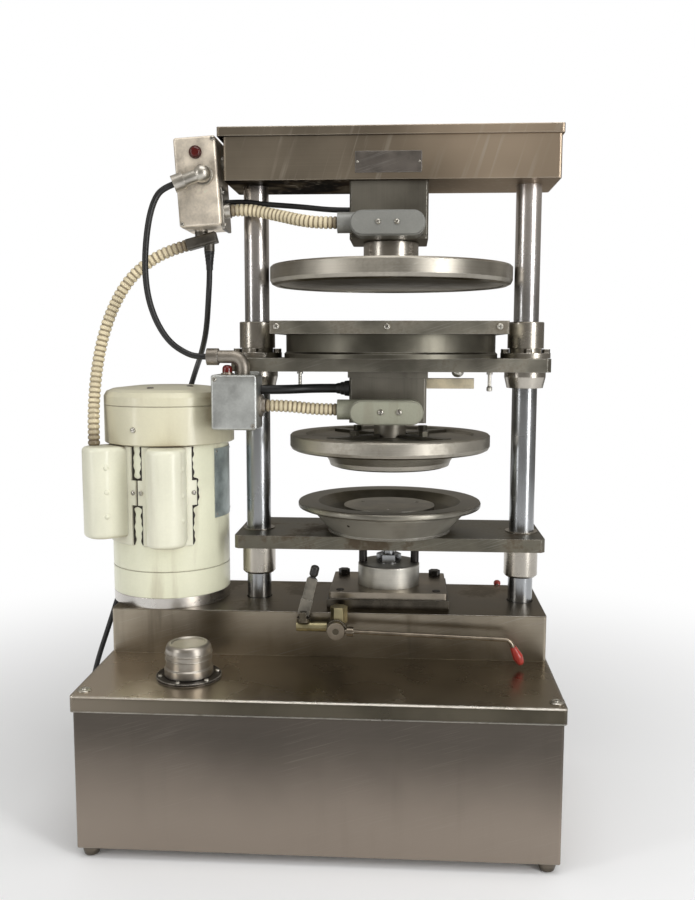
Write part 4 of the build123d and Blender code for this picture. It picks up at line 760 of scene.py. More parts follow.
@dataclass(frozen=True)
class ConduitFinish(Finish):
    """Cream ribbed plastic, with painted shade between its ribs, and brown with oil at its ends."""

    oily: Colour = (0.07, 0.04, 0.018)
    oily_from: float = 0.78
    oily_most: float = 0.8

    def tone(self, s: Sketch, grain: Socket, cloud: Socket) -> Socket:
        """Darken the clean colour with painted shade by how low in a rib a place is, and with oil by how near an end
        it is.

        Args:
            s: the sketch it is drawn in.
            grain: the fine grain about one half.
            cloud: the large patches from 0 to 1.

        Returns:
            The colour's socket.
        """
        clean = super().tone(s, grain, cloud)
        rib, along = (s.new("Attribute", attribute_name=name).outputs["Fac"] for name in ("rib", "along"))
        # Painted shade in the valleys between ribs, patchy by the clouds.
        valley = s.math("SUBTRACT", 1.0, rib)
        valley_shade = s.math("MULTIPLY", valley, s.math("MULTIPLY_ADD", cloud, 0.35, 0.5))
        clean = s.blend(valley_shade, clean, self.stain_and_shade)
        middle = s.math("MULTIPLY", s.math("SUBTRACT", along, 0.5), 2.0)
        near = s.ramp(s.math("ABSOLUTE", middle), self.oily_from, 1.0)
        return s.tint(clean, near, self.oily_most, self.oily)


class Region(Enum):
    """How the second finish of a two-part node is told from its first."""

    BELOW = "below a height"
    NEAR = "inside a ball"


@dataclass(frozen=True)
class TwoFinish(Finish):
    """One node with two finishes, parted by a height or a ball in millimetres."""

    second: Optional[Finish] = None
    region: Region = Region.BELOW
    where: Triple = (0.0, 0.0, 0.0)
    size: float = 1.0

    def layers(self, s: Sketch) -> Layers:
        """Mix the layers of both finishes by the region.

        Args:
            s: the sketch of the material.

        Returns:
            The mixed sockets.
        """
        first, second = super().layers(s), self.second.layers(s)
        away = s.vector("SUBTRACT", s.new("TexCoord").outputs["Object"], tuple(spot(*self.where))).outputs[0]
        if self.region is Region.BELOW:
            rise, edge = s.add("SeparateXYZ", Vector=away).outputs["Z"], 0.0
        else:
            rise, edge = s.vector("LENGTH", away).outputs["Value"], self.size / 1000
        share = s.ramp(rise, edge + LINE_HALF, edge - LINE_HALF)
        rough = s.math("MULTIPLY_ADD", s.math("SUBTRACT", second.rough, first.rough), share, first.rough)
        metal = first.metal
        if self.metal != self.second.metal:
            metal = s.math("MULTIPLY_ADD", share, self.second.metal - self.metal, self.metal)
        return Layers(s.blend(share, first.colour, second.colour), rough, first.normal, metal)


# How the grain of a finish is drawn out along each axis.
BRUSHED_X = (4.0, 900.0, 900.0)
BRUSHED_Z = (900.0, 900.0, 4.0)
TURNING = (300.0, 300.0, 1500.0)
HAMMERED = (420.0, 420.0, 420.0)

# Cabinet: darker toward the top and lighter toward the lower left, a painted shadow under the lid and a painted
# reflection.
CABINET = Finish("cabinet sheet", "stainless_sheet", (0.10, 0.087, 0.074), 0.36, 1.0, worn=(0.5, 0.46, 0.40),
                 edge=0.5, edge_reach=0.002, dirt=0.3, cloud=0.12, cloud_size=4.0, grain=BRUSHED_X, grain_tone=0.04,
                 scratch=0.08, drip=0.08, fade=1.0, fade_colour=(0.31, 0.262, 0.218), fade_toward=(-0.2, 0.0, -7.0),
                 fade_start=-1.3)
# The lid's lip: the lid's sheet painted much darker than its top as painted shade, lighter to the left as a painted
# reflection, with a painted highlight on its edges.
LIP = Finish("lid lip sheet", "stainless_sheet", (0.085, 0.075, 0.056), 0.3, 1.0, worn=(0.9, 0.87, 0.8), edge=0.9,
             edge_reach=0.004, dirt=0.35, cloud_size=8.0, grain=BRUSHED_X, grain_tone=0.04, fade=0.7,
             fade_colour=(0.28, 0.24, 0.19), fade_toward=(-3.0, 0.0, 0.0), fade_start=0.1)
# The lid's top: lighter to the left as a painted reflection, with a wide painted highlight along its rounded edges.
LID = TwoFinish("lid sheet", "stainless_sheet", (0.30, 0.256, 0.19), 0.28, 1.0, worn=(0.9, 0.87, 0.8),
                stain_and_shade=(0.07, 0.058, 0.04), edge=1.0, edge_reach=0.007, dirt=0.35, grime_and_shade_reach=0.06, cloud=0.12,
                grain=BRUSHED_X, grain_tone=0.03, fade=0.9, fade_colour=(0.74, 0.645, 0.53),
                fade_toward=(-3.0, 0.0, 0.0), fade_start=-0.1, second=LIP, where=(0, 0, LID_LIP_TOP))
STEP_FRONT = Finish("step front sheet", "stainless_sheet", (0.325, 0.285, 0.225), 0.32, 1.0, edge_reach=0.002,
                    grime_and_shade_reach=0.04, cloud=0.25, cloud_size=7.0, grain=BRUSHED_X, scratch=0.3, drip=0.5)
# The step's top is painted darker than its front: a painted reflection of the dark parts above it.
STEP = TwoFinish("step sheet", "stainless_sheet", (0.19, 0.158, 0.112), 0.34, 1.0, edge_reach=0.002, grime_and_shade_reach=0.04,
                 cloud_size=7.0, grain=BRUSHED_X, spot=0.4, second=STEP_FRONT, where=(0, 0, STEP_TOP))
# Crosshead: lighter toward the right as a painted reflection, nearly black on faces that look down as painted shade.
CROSSHEAD = Finish("crosshead steel", "stainless_sheet", (0.265, 0.228, 0.178), 0.38, 1.0, worn=(0.56, 0.50, 0.42),
                   edge=0.8, edge_reach=0.0025, dirt=0.4, cloud=0.2, cloud_size=5.0, grain=BRUSHED_X, scratch=0.65,
                   scratch_turn=(0.0, 1.27, 0.0), scratch_stretch=(6.0, 130.0, 130.0), under=1.0,
                   underside_shading_colour=(0.022, 0.015, 0.008), fade=0.85, fade_colour=(0.50, 0.40, 0.30),
                   fade_toward=(4.0, 0.0, 0.0), grazing=0.3)
# Plate steel: darker on faces that look down, painted shade.
PLATE = Finish("plate steel", "plate_steel", (0.29, 0.275, 0.23), 0.38, 1.0, stain_and_shade=(0.085, 0.05, 0.026),
               cloud_size=14.0, grain=BRUSHED_X, scratch=0.3, under=0.6, spot=0.45)
LOWER_PLATE = replace(PLATE, name="lower plate steel", colour=(0.165, 0.154, 0.122), spot=0.6)
# Posts and ram: lighter toward the top as a painted reflection.
CHROME = Finish("chromed bar", "chromed_post", (0.36, 0.37, 0.38), 0.26, 1.0, edge=0.3, cloud=0.08, grain=BRUSHED_Z,
                grain_tone=0.03, bump=0.02, fade=1.0, fade_colour=(0.74, 0.70, 0.68), fade_toward=(0.0, 0.0, 4.0),
                fade_start=2.6)
TURNED = Finish("turned steel", "turned_steel", (0.46, 0.43, 0.38), 0.27, 1.0, worn=(0.75, 0.72, 0.66), edge=0.5,
                cloud=0.15, grain=TURNING, bump=0.05)
FOOT = Finish("foot steel", "turned_steel", (0.15, 0.13, 0.105), 0.22, 1.0, edge=0.4, cloud=0.2)
CAP = Finish("filler cap plating", "turned_steel", (0.40, 0.372, 0.33), 0.36, 1.0, worn=(0.75, 0.73, 0.68), cloud=0.2,
             cloud_size=18.0, grain=TURNING, bump=0.04)
DARK_STEEL = Finish("dark block steel", "plate_steel", (0.142, 0.134, 0.108), 0.40, 1.0, grain=BRUSHED_X, drip=0.4)
# Dies: darker and brownish on faces that look down, painted shade.
DIE = Finish("die aluminium", "die_aluminium", (0.40, 0.375, 0.325), 0.41, 1.0, worn=(0.82, 0.80, 0.74),
             stain_and_shade=(0.10, 0.085, 0.055), edge=0.8, dirt=0.55, grime_and_shade_reach=0.03, cloud=0.2, cloud_size=12.0,
             grain_tone=0.06, bump=0.06, scratch=0.15, under=0.9, underside_shading_colour=(0.17, 0.135, 0.075), spot=0.25,
             ring_at=PRESS_AXIS, grazing=0.7)
FLANGE = Finish("motor flange aluminium", "die_aluminium", (0.60, 0.575, 0.54), 0.26, 1.0, worn=(0.85, 0.83, 0.79),
                dirt=0.75, grime_and_shade_reach=0.012, cloud=0.2, grain=TURNING)
# The mould's body below the rim: faces that look down are painted lighter, a painted reflection.
MOULD_BODY = Finish("mould body aluminium", "die_aluminium", (0.19, 0.176, 0.145), 0.42, 0.45, worn=(0.85, 0.84, 0.8),
                    stain_and_shade=(0.05, 0.045, 0.03), dirt=0.7, cloud_size=14.0, grain_tone=0.12, under=1.0,
                    underside_shading_colour=(0.42, 0.40, 0.345), ring_at=PRESS_AXIS)
# The mould: its dish darkens by the corner mask over a wide reach, painted shade along with residue.
MOULD = TwoFinish("mould aluminium", "die_aluminium", (0.24, 0.227, 0.192), 0.36, 1.0, worn=(0.62, 0.60, 0.55),
                  stain_and_shade=(0.05, 0.045, 0.03), edge=0.8, edge_reach=0.003, dirt=0.75, grime_and_shade_reach=0.06, cloud=0.25,
                  cloud_size=14.0, grain_tone=0.09, bump=0.06, ring_at=PRESS_AXIS, second=MOULD_BODY,
                  where=(0, 0, MOULD_RIM_LOW))
DISC = Finish("ejector disc aluminium", "die_aluminium", (0.42, 0.40, 0.35), 0.4, 1.0, worn=(0.8, 0.79, 0.75),
              dirt=0.4, grime_and_shade_reach=0.01, cloud_size=25.0, ring_at=PRESS_AXIS)
BOX_METAL = Finish("cast box metal", "cast_aluminium", (0.86, 0.775, 0.65), 0.48, 0.75, worn=(0.78, 0.74, 0.68),
                   stain_and_shade=(0.12, 0.095, 0.07), edge=0.7, cloud=0.25, cloud_size=26.0, grain_tone=0.08, bump=0.12,
                   spot=0.4)
LOWER_BOX = Finish("lower box metal", "cast_aluminium", (0.51, 0.525, 0.51), 0.45, 1.0, worn=(0.72, 0.72, 0.70),
                   edge=0.5, dirt=0.55, cloud=0.25, cloud_size=22.0, grain_tone=0.08, bump=0.1)
LOWER_FITTINGS = replace(LOWER_BOX, name="lower fitting metal", colour=(0.32, 0.29, 0.25))
HOUSING = Finish("housing steel", "plate_steel", (0.22, 0.207, 0.175), 0.42, 1.0, cloud=0.25, grain=BRUSHED_Z,
                 grain_tone=0.06, drip=0.4)
BODY_GREY = Finish("grey hammered paint", "grey_paint", (0.235, 0.235, 0.215), 0.42, worn=(0.42, 0.42, 0.40),
                   edge=0.4, dirt=0.5, cloud=0.15, grain=HAMMERED, grain_tone=0.06, bump=0.2, coat=0.2)
BODY_GREEN = Finish("pale green paint", "pale_green_paint", (0.295, 0.295, 0.225), 0.40, worn=(0.5, 0.5, 0.44),
                    stain_and_shade=(0.12, 0.08, 0.04), edge=0.4, cloud=0.15, grain=HAMMERED, grain_tone=0.06, bump=0.2,
                    drip=0.3, coat=0.2)
# Cream paint: undersides tinted brown as painted shade with grime, and corners darkened strongly by the corner mask.
CREAM = Finish("cream paint", "cream_paint", (0.775, 0.762, 0.608), 0.36, worn=(0.86, 0.84, 0.72),
               stain_and_shade=(0.24, 0.165, 0.08), edge=0.2, edge_reach=0.0025, dirt=0.9, grime_and_shade_reach=0.04, cloud=0.06,
               grain_tone=0.02, bump=0.05, drip=0.4, under=0.5, underside_shading_colour=(0.4, 0.33, 0.2), coat=0.2)
SHELL = replace(CREAM, name="shell cream paint", colour=(0.81, 0.808, 0.615), fade=0.35,
                fade_colour=(0.55, 0.45, 0.24), fade_toward=(12.0, 0.0, -2.0), fade_start=-2.75)
COWL = replace(CREAM, name="cowl cream paint", colour=(0.655, 0.62, 0.455), fade=0.15, fade_colour=(0.42, 0.36, 0.24),
               fade_toward=(12.0, 0.0, 0.0), fade_start=-2.5)
CONDUIT = ConduitFinish("cream conduit", "conduit_plastic", (0.70, 0.605, 0.405), 0.42, stain_and_shade=(0.10, 0.06, 0.025),
                        edge=0.0, dirt=0.35, cloud=0.15, cloud_size=40.0, grain_tone=0.03)
RUBBER = Finish("black cable rubber", "cable_rubber", (0.012, 0.012, 0.012), 0.42, stain_and_shade=(0.05, 0.045, 0.04),
                edge=0.0, dirt=0.3, cloud_size=30.0, grain_tone=0.1)
# Dark lines round the motor's covers and the mould's vent: painted shade of gaps and holes, along with grime.
SEAM_SHADE_AND_GRIME = Finish("seam shade and grime", "cable_rubber", (0.02, 0.014, 0.008), 0.7, edge=0.0, dirt=0.2, cloud=0.4, cloud_size=60.0)
LENS = Finish("red lamp glass", "lamp_red", (0.075, 0.004, 0.003), 0.14, worn=(0.3, 0.03, 0.02), edge=0.2, dirt=0.4,
              cloud=0.25, cloud_size=90.0, coat=0.5)
LAMP_RING = Finish("lamp ring metal", "cast_aluminium", (0.34, 0.28, 0.22), 0.3, 1.0, edge=0.3, cloud=0.12)
UPPER_LAMP = TwoFinish("upper pilot lamp", "lamp_red", (0.09, 0.026, 0.02), 0.35, 0.6, edge=0.3, cloud=0.12,
                       second=LENS, region=Region.NEAR, where=UPPER_LENS, size=7.2)
LOWER_LAMP = TwoFinish("lower pilot lamp", "lamp_red", (0.13, 0.006, 0.005), 0.14, worn=(0.3, 0.03, 0.02), edge=0.2,
                       dirt=0.4, cloud=0.12, coat=0.4, second=LAMP_RING, where=(0, 0, LAMP_RING_TOP))
BRASS = Finish("dull brass", "brass", (0.42, 0.372, 0.222), 0.42, 1.0, worn=(0.62, 0.54, 0.32),
               stain_and_shade=(0.04, 0.035, 0.02), dirt=0.7, cloud_size=45.0)
IRON = Finish("dark valve iron", "valve_iron", (0.115, 0.10, 0.075), 0.42, 1.0, worn=(0.5, 0.47, 0.41),
              stain_and_shade=(0.02, 0.016, 0.012), dirt=0.7, cloud=0.35, cloud_size=40.0, bump=0.15)
KNOB = Finish("black knob plastic", "cable_rubber", (0.015, 0.014, 0.013), 0.35, edge=0.1, dirt=0.3, cloud=0.12)
HAND_LEVER = TwoFinish("hand lever steel", "valve_iron", (0.185, 0.17, 0.142), 0.32, 1.0, worn=(0.7, 0.67, 0.6),
                       stain_and_shade=(0.03, 0.025, 0.02), edge=0.7, dirt=0.7, cloud=0.45, cloud_size=45.0, second=KNOB,
                       region=Region.NEAR, where=LEVER_KNOB, size=11.0)
BRIGHT_ROD = Finish("lever rod steel", "turned_steel", (0.26, 0.222, 0.175), 0.34, 1.0, edge=0.12, dirt=0.5,
                    cloud_size=40.0, grain=BRUSHED_X)
BLACK_SCREW = Finish("blackened screw steel", "black_screw", (0.045, 0.042, 0.04), 0.4, 1.0, worn=(0.4, 0.38, 0.35),
                     edge=0.4, cloud=0.12)
SCREW = Finish("plated screw steel", "turned_steel", (0.52, 0.50, 0.45), 0.3, 1.0, edge=0.4, dirt=0.8,
               grime_and_shade_reach=0.004, cloud=0.2, cloud_size=60.0)
GRIP = Finish("red grip plastic", "grip_red", (0.33, 0.026, 0.017), 0.34, worn=(0.55, 0.10, 0.07), edge=0.15,
              dirt=0.4, cloud=0.2, cloud_size=60.0, coat=0.2)
PROBE = Finish("tan probe sleeve", "probe_tan", (0.74, 0.645, 0.46), 0.5, edge=0.2, dirt=0.5, cloud=0.2,
               cloud_size=40.0)
ROTOR = Finish("rotor steel", "rotor_steel", (0.30, 0.29, 0.28), 0.4, 1.0, edge=0.3, dirt=0.5, cloud=0.12)
GLAND = Finish("gland aluminium", "die_aluminium", (0.52, 0.505, 0.46), 0.46, 1.0, dirt=0.8, cloud=0.25,
               cloud_size=25.0, bump=0.05, ring_at=PRESS_AXIS, ring_size=500.0)
PLATE_BLUE = Finish("bare blue plate", "plate_steel", (0.36, 0.415, 0.405), 0.35, 0.6, edge=0.4, dirt=0.4, cloud=0.35,
                    cloud_size=30.0, scratch=0.4)
PLATE_DARK = Finish("bare dark plate", "black_screw", (0.085, 0.073, 0.062), 0.42, 0.3, edge=0.5, dirt=0.4,
                    cloud=0.25, cloud_size=40.0, scratch=0.12)
GASKET = Finish("oily filler flange", "black_screw", (0.026, 0.022, 0.018), 0.28, 0.5, worn=(0.55, 0.51, 0.45),
                edge=1.0, edge_reach=0.002, dirt=0.4, cloud_size=40.0)
# The riser under the cylinder plate: dark as painted shade under the plate's overhang, with some oil.
SHADED_OILY_RISER = Finish("oily riser steel in painted shade", "plate_steel", (0.10, 0.088, 0.07), 0.3, 1.0, edge=0.3, cloud=0.45, cloud_size=25.0)
CYLINDER = TwoFinish("cylinder plate and riser", "plate_steel", (0.34, 0.30, 0.245), 0.34, 1.0,
                     worn=(0.72, 0.68, 0.6), edge=0.8, edge_reach=0.0016, cloud_size=20.0, grain=BRUSHED_X,
                     second=SHADED_OILY_RISER, where=(0, 0, RISER_TOP))
ELBOW = Finish("dark elbow casting", "valve_iron", (0.13, 0.12, 0.105), 0.45, 1.0, edge=0.5, cloud_size=40.0,
               bump=0.12)
UPPER_FITTINGS = TwoFinish("swivel and elbow metal", "cast_aluminium", (0.50, 0.475, 0.425), 0.36, 1.0, edge=0.5,
                           dirt=0.7, cloud=0.25, cloud_size=30.0, second=ELBOW, where=(0, 0, ELBOW_TOP))

NODE_FINISHES: dict[Finish, str] = {
    CABINET: "tank_cabinet",
    LID: "tank_lid",
    STEP: "step_housing",
    CROSSHEAD: "crosshead_beam crosshead_cap",
    PLATE: "middle_plate pressing_plate base_beam",
    LOWER_PLATE: "lower_plate",
    CHROME: "guide_posts ram",
    TURNED: "post_stop_collars lower_bearings middle_bearings upper_die_collar",
    DARK_STEEL: "pressing_block mid_die_clamps pump_housing",
    DIE: "upper_die mid_die",
    MOULD: "lower_mould",
    DISC: "mould_floor_disc",
    FLANGE: "motor_flange",
    CAP: "filler_cap",
    FOOT: "levelling_feet",
    GLAND: "cylinder_gland",
    CYLINDER: "hydraulic_cylinder",
    BOX_METAL: "upper_junction_box",
    UPPER_FITTINGS: "upper_box_fittings",
    LOWER_BOX: "lower_junction_box",
    LOWER_FITTINGS: "lower_box_fittings",
    HOUSING: "upper_heater_housing mid_heater_housing",
    BODY_GREY: "upper_conduit_body",
    BODY_GREEN: "mid_conduit_body",
    CREAM: "capacitor_covers",
    SHELL: "motor_shell",
    COWL: "motor_fan_cowl",
    UPPER_LAMP: "upper_pilot_lamp",
    LOWER_LAMP: "lower_pilot_lamp",
    BRASS: "hydraulic_fittings",
    IRON: "control_valve",
    HAND_LEVER: "hand_lever",
    BRIGHT_ROD: "valve_lever_rod",
    GRIP: "valve_lever_grip",
    BLACK_SCREW: "cylinder_screws",
    GASKET: "filler_neck",
    PROBE: "thermostat_probe",
    ROTOR: "motor_rotor pump_drive_gear pump_driven_gear",
    RUBBER: "mains_plug mains_cord mains_coil loop_cable upper_heater_lead mid_heater_lead",
    CONDUIT: "upper_conduit mid_conduit motor_conduit",
}


@dataclass
class PhotoCamera:
    """The camera at the photograph's place, in metres and radians in the shared frame."""

    place: Triple = (0.133316, -1.411394, 0.699046)
    yaw: float = -0.06285745
    pitch: float = -0.11374842
    roll: float = 0.0021693
    lens: float = 37.319
    shift_up: float = 0.00298
    sensor: float = 36.0
    view_end: float = 100.0

    def build(self) -> None:
        """Aim by yaw and pitch, lean by roll, and make it the scene's camera."""
        ahead = np.array([math.sin(self.yaw) * math.cos(self.pitch),
                          math.cos(self.yaw) * math.cos(self.pitch), math.sin(self.pitch)])
        right = np.array([math.cos(self.yaw), -math.sin(self.yaw), 0.0])
        up = np.cross(right, ahead)
        lean_right = right * math.cos(self.roll) + up * math.sin(self.roll)
        lean_up = up * math.cos(self.roll) - right * math.sin(self.roll)
        data = bpy.data.cameras.new("photo_camera")
        data.lens, data.sensor_width, data.shift_y = self.lens, self.sensor, self.shift_up
        data.clip_end = self.view_end
        camera = add_object("photo_camera", data)
        camera.matrix_world = pose_of([lean_right, lean_up, -ahead], self.place)
        bpy.context.scene.camera = camera


@dataclass
class Cord:
    """A cord on a smooth line whose control points, in millimetres, are its route's points."""

    name: str
    nodes: tuple[str, ...]
    points: Sequence[Sequence[float]]
    diameter: float
    length: float
    fineness: int = 12
    roundness: int = 5

    def curve(self, name: str, radius: float) -> bpy.types.Object:
        """A curve of one smooth open line.

        Args:
            name: the curve's name.
            radius: its radius in metres, or 0 for a bare line.

        Returns:
            The curve's object.
        """
        data = bpy.data.curves.new(name, "CURVE")
        data.dimensions, data.resolution_u = "3D", self.fineness
        data.bevel_depth, data.bevel_resolution, data.use_fill_caps = radius, self.roundness, radius > 0
        line = data.splines.new("NURBS")
        route = np.asarray(self.points, float) / 1000
        line.points.add(len(route) - 1)
        line.points.foreach_set("co", np.hstack([route, np.ones((len(route), 1))]).ravel())
        line.order_u = 3
        line.use_endpoint_u = True
        return add_object(name, data)

    def line(self, count: int) -> np.ndarray:
        """Points read from the smooth line, evenly spaced along it.

        Args:
            count: how many points.

        Returns:
            The points, in metres.
        """
        bare = self.curve(self.name + "_line", 0.0)
        mesh = bpy.data.meshes.new_from_object(bare)
        read = np.empty(len(mesh.vertices) * 3)
        mesh.vertices.foreach_get("co", read)
        read = read.reshape(-1, 3)
        bpy.data.objects.remove(bare)
        bpy.data.meshes.remove(mesh)
        gone = np.concatenate([[0], np.cumsum(np.linalg.norm(np.diff(read, axis=0), axis=1))])
        even = np.linspace(0, gone[-1], count)
        return np.stack([np.interp(even, gone, read[:, i]) for i in range(3)], axis=-1)

    def exit(self) -> Triple:
        """Where the cord leaves the object, in metres."""
        return tuple(np.asarray(self.points[0], float) / 1000)

    def round_cord(self, body: Body) -> bpy.types.Object:
        """A round cord that takes its solids' place.

        Args:
            body: the body that it rides on.

        Returns:
            The cord's object.
        """
        piece = self.curve(self.name, self.diameter / 2000)
        piece.data.materials.append(RUBBER.material())
        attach(piece, body.value)
        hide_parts(*self.nodes)
        LOG.info("%s: cord of %d points", self.name, len(self.points))
        return piece


@dataclass
class RibbedConduit(Cord):
    """A ribbed conduit: a tube whose radius rises to a crest in each rib."""

    ribs: int = 20
    root: float = 15.0
    rows_per_rib: int = 10
    around: int = 24
    valley: float = 0.08
    slope: float = 0.2

    def build(self, body: Body) -> bpy.types.Object:
        """Carry the rib profile, a trapezoid with soft corners, along the smooth line.

        Args:
            body: the body that it rides on.

        Returns:
            The conduit's object.
        """
        steps = self.ribs * self.rows_per_rib + 1
        along = np.linspace(0, 1, steps)
        phase = (along * self.ribs) % 1
        rise = np.clip((np.minimum(phase, 1 - phase) - self.valley) / self.slope, 0, 1)
        rise = rise * rise * (3 - 2 * rise)
        radius = (self.root + (self.diameter - self.root) * rise) / 2000
        tube = swept(self.line(steps), radius, self.around)
        columns = np.ones((1, self.around))
        tube.marks = {"rib": np.concatenate([[0], rise, [0]])[:, None] * columns,
                      "along": np.concatenate([[0], along, [1]])[:, None] * columns}
        piece = make_piece(self.name, [tube], body, CONDUIT, sharp=80)
        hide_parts(*self.nodes)
        return piece


@dataclass
class Wiring:
    """The conduits, the leads, the loop between the boxes, and the mains cord with its coil."""

    coil_centre: tuple[float, float] = (-174.212, 222.5)
    coil_radius: float = 54.85
    coil_pitch: float = 9.7
    coil_low: float = 4.6
    coil_turns: int = 4
    points_per_turn: int = 16
    plug_end: Triple = (-126.2, 277.4, 14.3)
    tie_middle: tuple[float, float] = (44.8, 9.6)
    tie_outer: tuple[float, float] = (15.2, 9.5)
    tie_inner: tuple[float, float] = (14.5, 9.0)
    tie_half: float = 2.5

    def conduits(self) -> None:
        """The three ribbed conduits; the middle one is too short to count as a free cord."""
        upper = RibbedConduit("upper_ribbed_conduit", ("upper_conduit",), [
            (-131.1, 2.5, 899.9), (-106.1, 2.5, 901.4), (-79.5, -0.5, 896.2), (-51.9, -10.5, 889.4),
            (-24.3, -23.5, 881.7), (6.3, -31.5, 877.0), (31.3, -31.5, 877.0)],
            diameter=18.0, length=0.170, ribs=25)
        upper.build(Body.FRAME)
        upper.exit()
        upper.line(80).tolist()
        motor = RibbedConduit("motor_ribbed_conduit", ("motor_conduit",), [
            (-203.3, 28.0, 852.2), (-228.4, 28.0, 845.5), (-261.3, 23.9, 829.0), (-294.3, 18.8, 799.9),
            (-318.3, 11.7, 756.7), (-333.3, 3.7, 708.5), (-341.3, -5.4, 656.3), (-343.3, -14.5, 606.2),
            (-341.3, -23.6, 574.0), (-341.3, -23.6, 548.0)], diameter=18.0, length=0.371, ribs=46)
        motor.build(Body.FRAME)
        motor.exit()
        motor.line(120).tolist()
        RibbedConduit("mid_ribbed_conduit", ("mid_conduit",), [
            (-75.2, -35.5, 611.0), (-43.2, -35.5, 611.0), (-0.7, -31.5, 605.5), (31.3, -31.5, 605.5)],
            diameter=18.0, length=0.107, ribs=16).build(Body.MIDDLE)

    def leads(self) -> None:
        """The heater leads, the thick one with a rubber boot where it enters its housing."""
        upper = Cord("upper_lead", ("upper_heater_lead",), [
            (-141.0, 14.5, 913.3), (-115.0, 14.5, 914.9), (-81.2, 12.5, 910.2), (-25.5, 4.5, 905.1),
            (21.3, -1.5, 899.0), (47.3, -1.5, 899.0)], diameter=8.0, length=0.190)
        upper.round_cord(Body.FRAME)
        middle = Cord("mid_lead", ("mid_heater_lead",), [
            (-84.2, -21.5, 634.0), (-50.2, -21.5, 634.0), (-6.7, 2.5, 635.5), (27.3, 2.5, 635.5)],
            diameter=14.0, length=0.116)
        boot = turned([(0, 0), (7.3, 0), (8.0, 1.5), (8.4, 6), (9.6, 7), (10.0, 12), (11.4, 13), (12, 20), (0, 20)])
        end = np.array(middle.points[-1]) / 1000
        sleeve = make_piece("mid_lead_boot", [boot.placed(end, Way.RIGHT.value)], Body.MIDDLE, RUBBER)
        middle.round_cord(Body.MIDDLE)

    def loop(self) -> None:
        """The cable from the upper swivel down to the lower box."""
        loop = Cord("box_loop", ("loop_cable",), [
            (-208.2, -36.9, 932.3), (-224.2, -39.6, 925.8), (-235.2, -41.9, 910.3), (-243.2, -43.8, 884.2),
            (-248.2, -45.8, 848.2), (-250.2, -46.7, 810.2), (-247.2, -46.7, 774.1), (-239.2, -45.7, 744.1),
            (-227.2, -43.6, 719.1), (-213.2, -40.6, 701.1), (-195.2, -37.5, 689.0), (-179.7, -35.5, 683.0),
            (-162.2, -35.5, 683.0)], diameter=9.0, length=0.311)
        line = loop.line(90)
        piece = make_piece("box_loop", [swept(line, np.full(len(line), loop.diameter / 2000))], None, RUBBER, sharp=80)
        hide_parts(*loop.nodes)
        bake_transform(piece)

    def coil_points(self) -> np.ndarray:
        """Control points of the put-away coil.

        Point at t turns: the radius falls by one pitch a turn to the middle and rises again,
        the angle runs clockwise from the back, and the second half lies one pitch higher.

        Returns:
            The points, in millimetres.
        """
        t = np.arange(0, self.coil_turns * self.points_per_turn + 1) / self.points_per_turn
        half = self.coil_turns / 2
        radius = self.coil_radius - self.coil_pitch * (half - abs(t - half))
        radius = radius / math.cos(math.pi / self.points_per_turn)
        angle = np.radians(90 - 360 * t)
        high = self.coil_low + self.coil_pitch * np.clip((t - half) * 2 + 0.5, 0, 1)
        return np.stack([self.coil_centre[0] + radius * np.cos(angle),
                         self.coil_centre[1] + radius * np.sin(angle), high], axis=-1)

    def relief(self, at: Triple) -> Surface:
        """The tapered sleeve where the mains cord leaves the upper box's grip.

        Args:
            at: where the cord leaves it, in metres.

        Returns:
            The closed ring of its profile.
        """
        outer = [(7.6, 0), (7.6, 4), (6.9, 5), (7.0, 9), (6.3, 10), (6.4, 14), (5.8, 15), (5.9, 19), (5.3, 20),
                 (5.2, 28)]
        ring = outer + [(4.6, 28), (4.6, 0), (7.6, 0)]
        return turned(ring).placed(np.array(at), Way.DOWN.value)

    def tie_edge(self, angle: float, size: tuple[float, float], side: float) -> np.ndarray:
        """One edge of a tie: an oval round the coil's turns, of powers of sine and cosine.

        Args:
            angle: where on the coil the tie is, in degrees.
            size: half of the oval's width and height.
            side: how far the edge lies to the tie's side.

        Returns:
            The edge's points, in metres.
        """
        u = ring_angles(48)
        waves = np.stack([np.cos(u), np.sin(u)])
        oval = np.sign(waves) * abs(waves) ** 0.35 * np.array(size)[:, None]
        reach, high = oval + np.array(self.tie_middle)[:, None]
        a = math.radians(angle)
        x = self.coil_centre[0] + reach * math.cos(a) - side * math.sin(a)
        y = self.coil_centre[1] + reach * math.sin(a) + side * math.cos(a)
        return np.stack([x, y, np.maximum(high, 0.1)], axis=-1) / 1000

    def tie(self, angle: float) -> Surface:
        """A flat strap round the coil's turns: its outer face, its inner face and its two sides."""
        corners = ((self.tie_outer, -1), (self.tie_outer, 1), (self.tie_inner, 1), (self.tie_inner, -1))
        edges = [self.tie_edge(angle, size, side * self.tie_half) for size, side in corners]
        return Surface(np.stack(edges + edges[:1]))

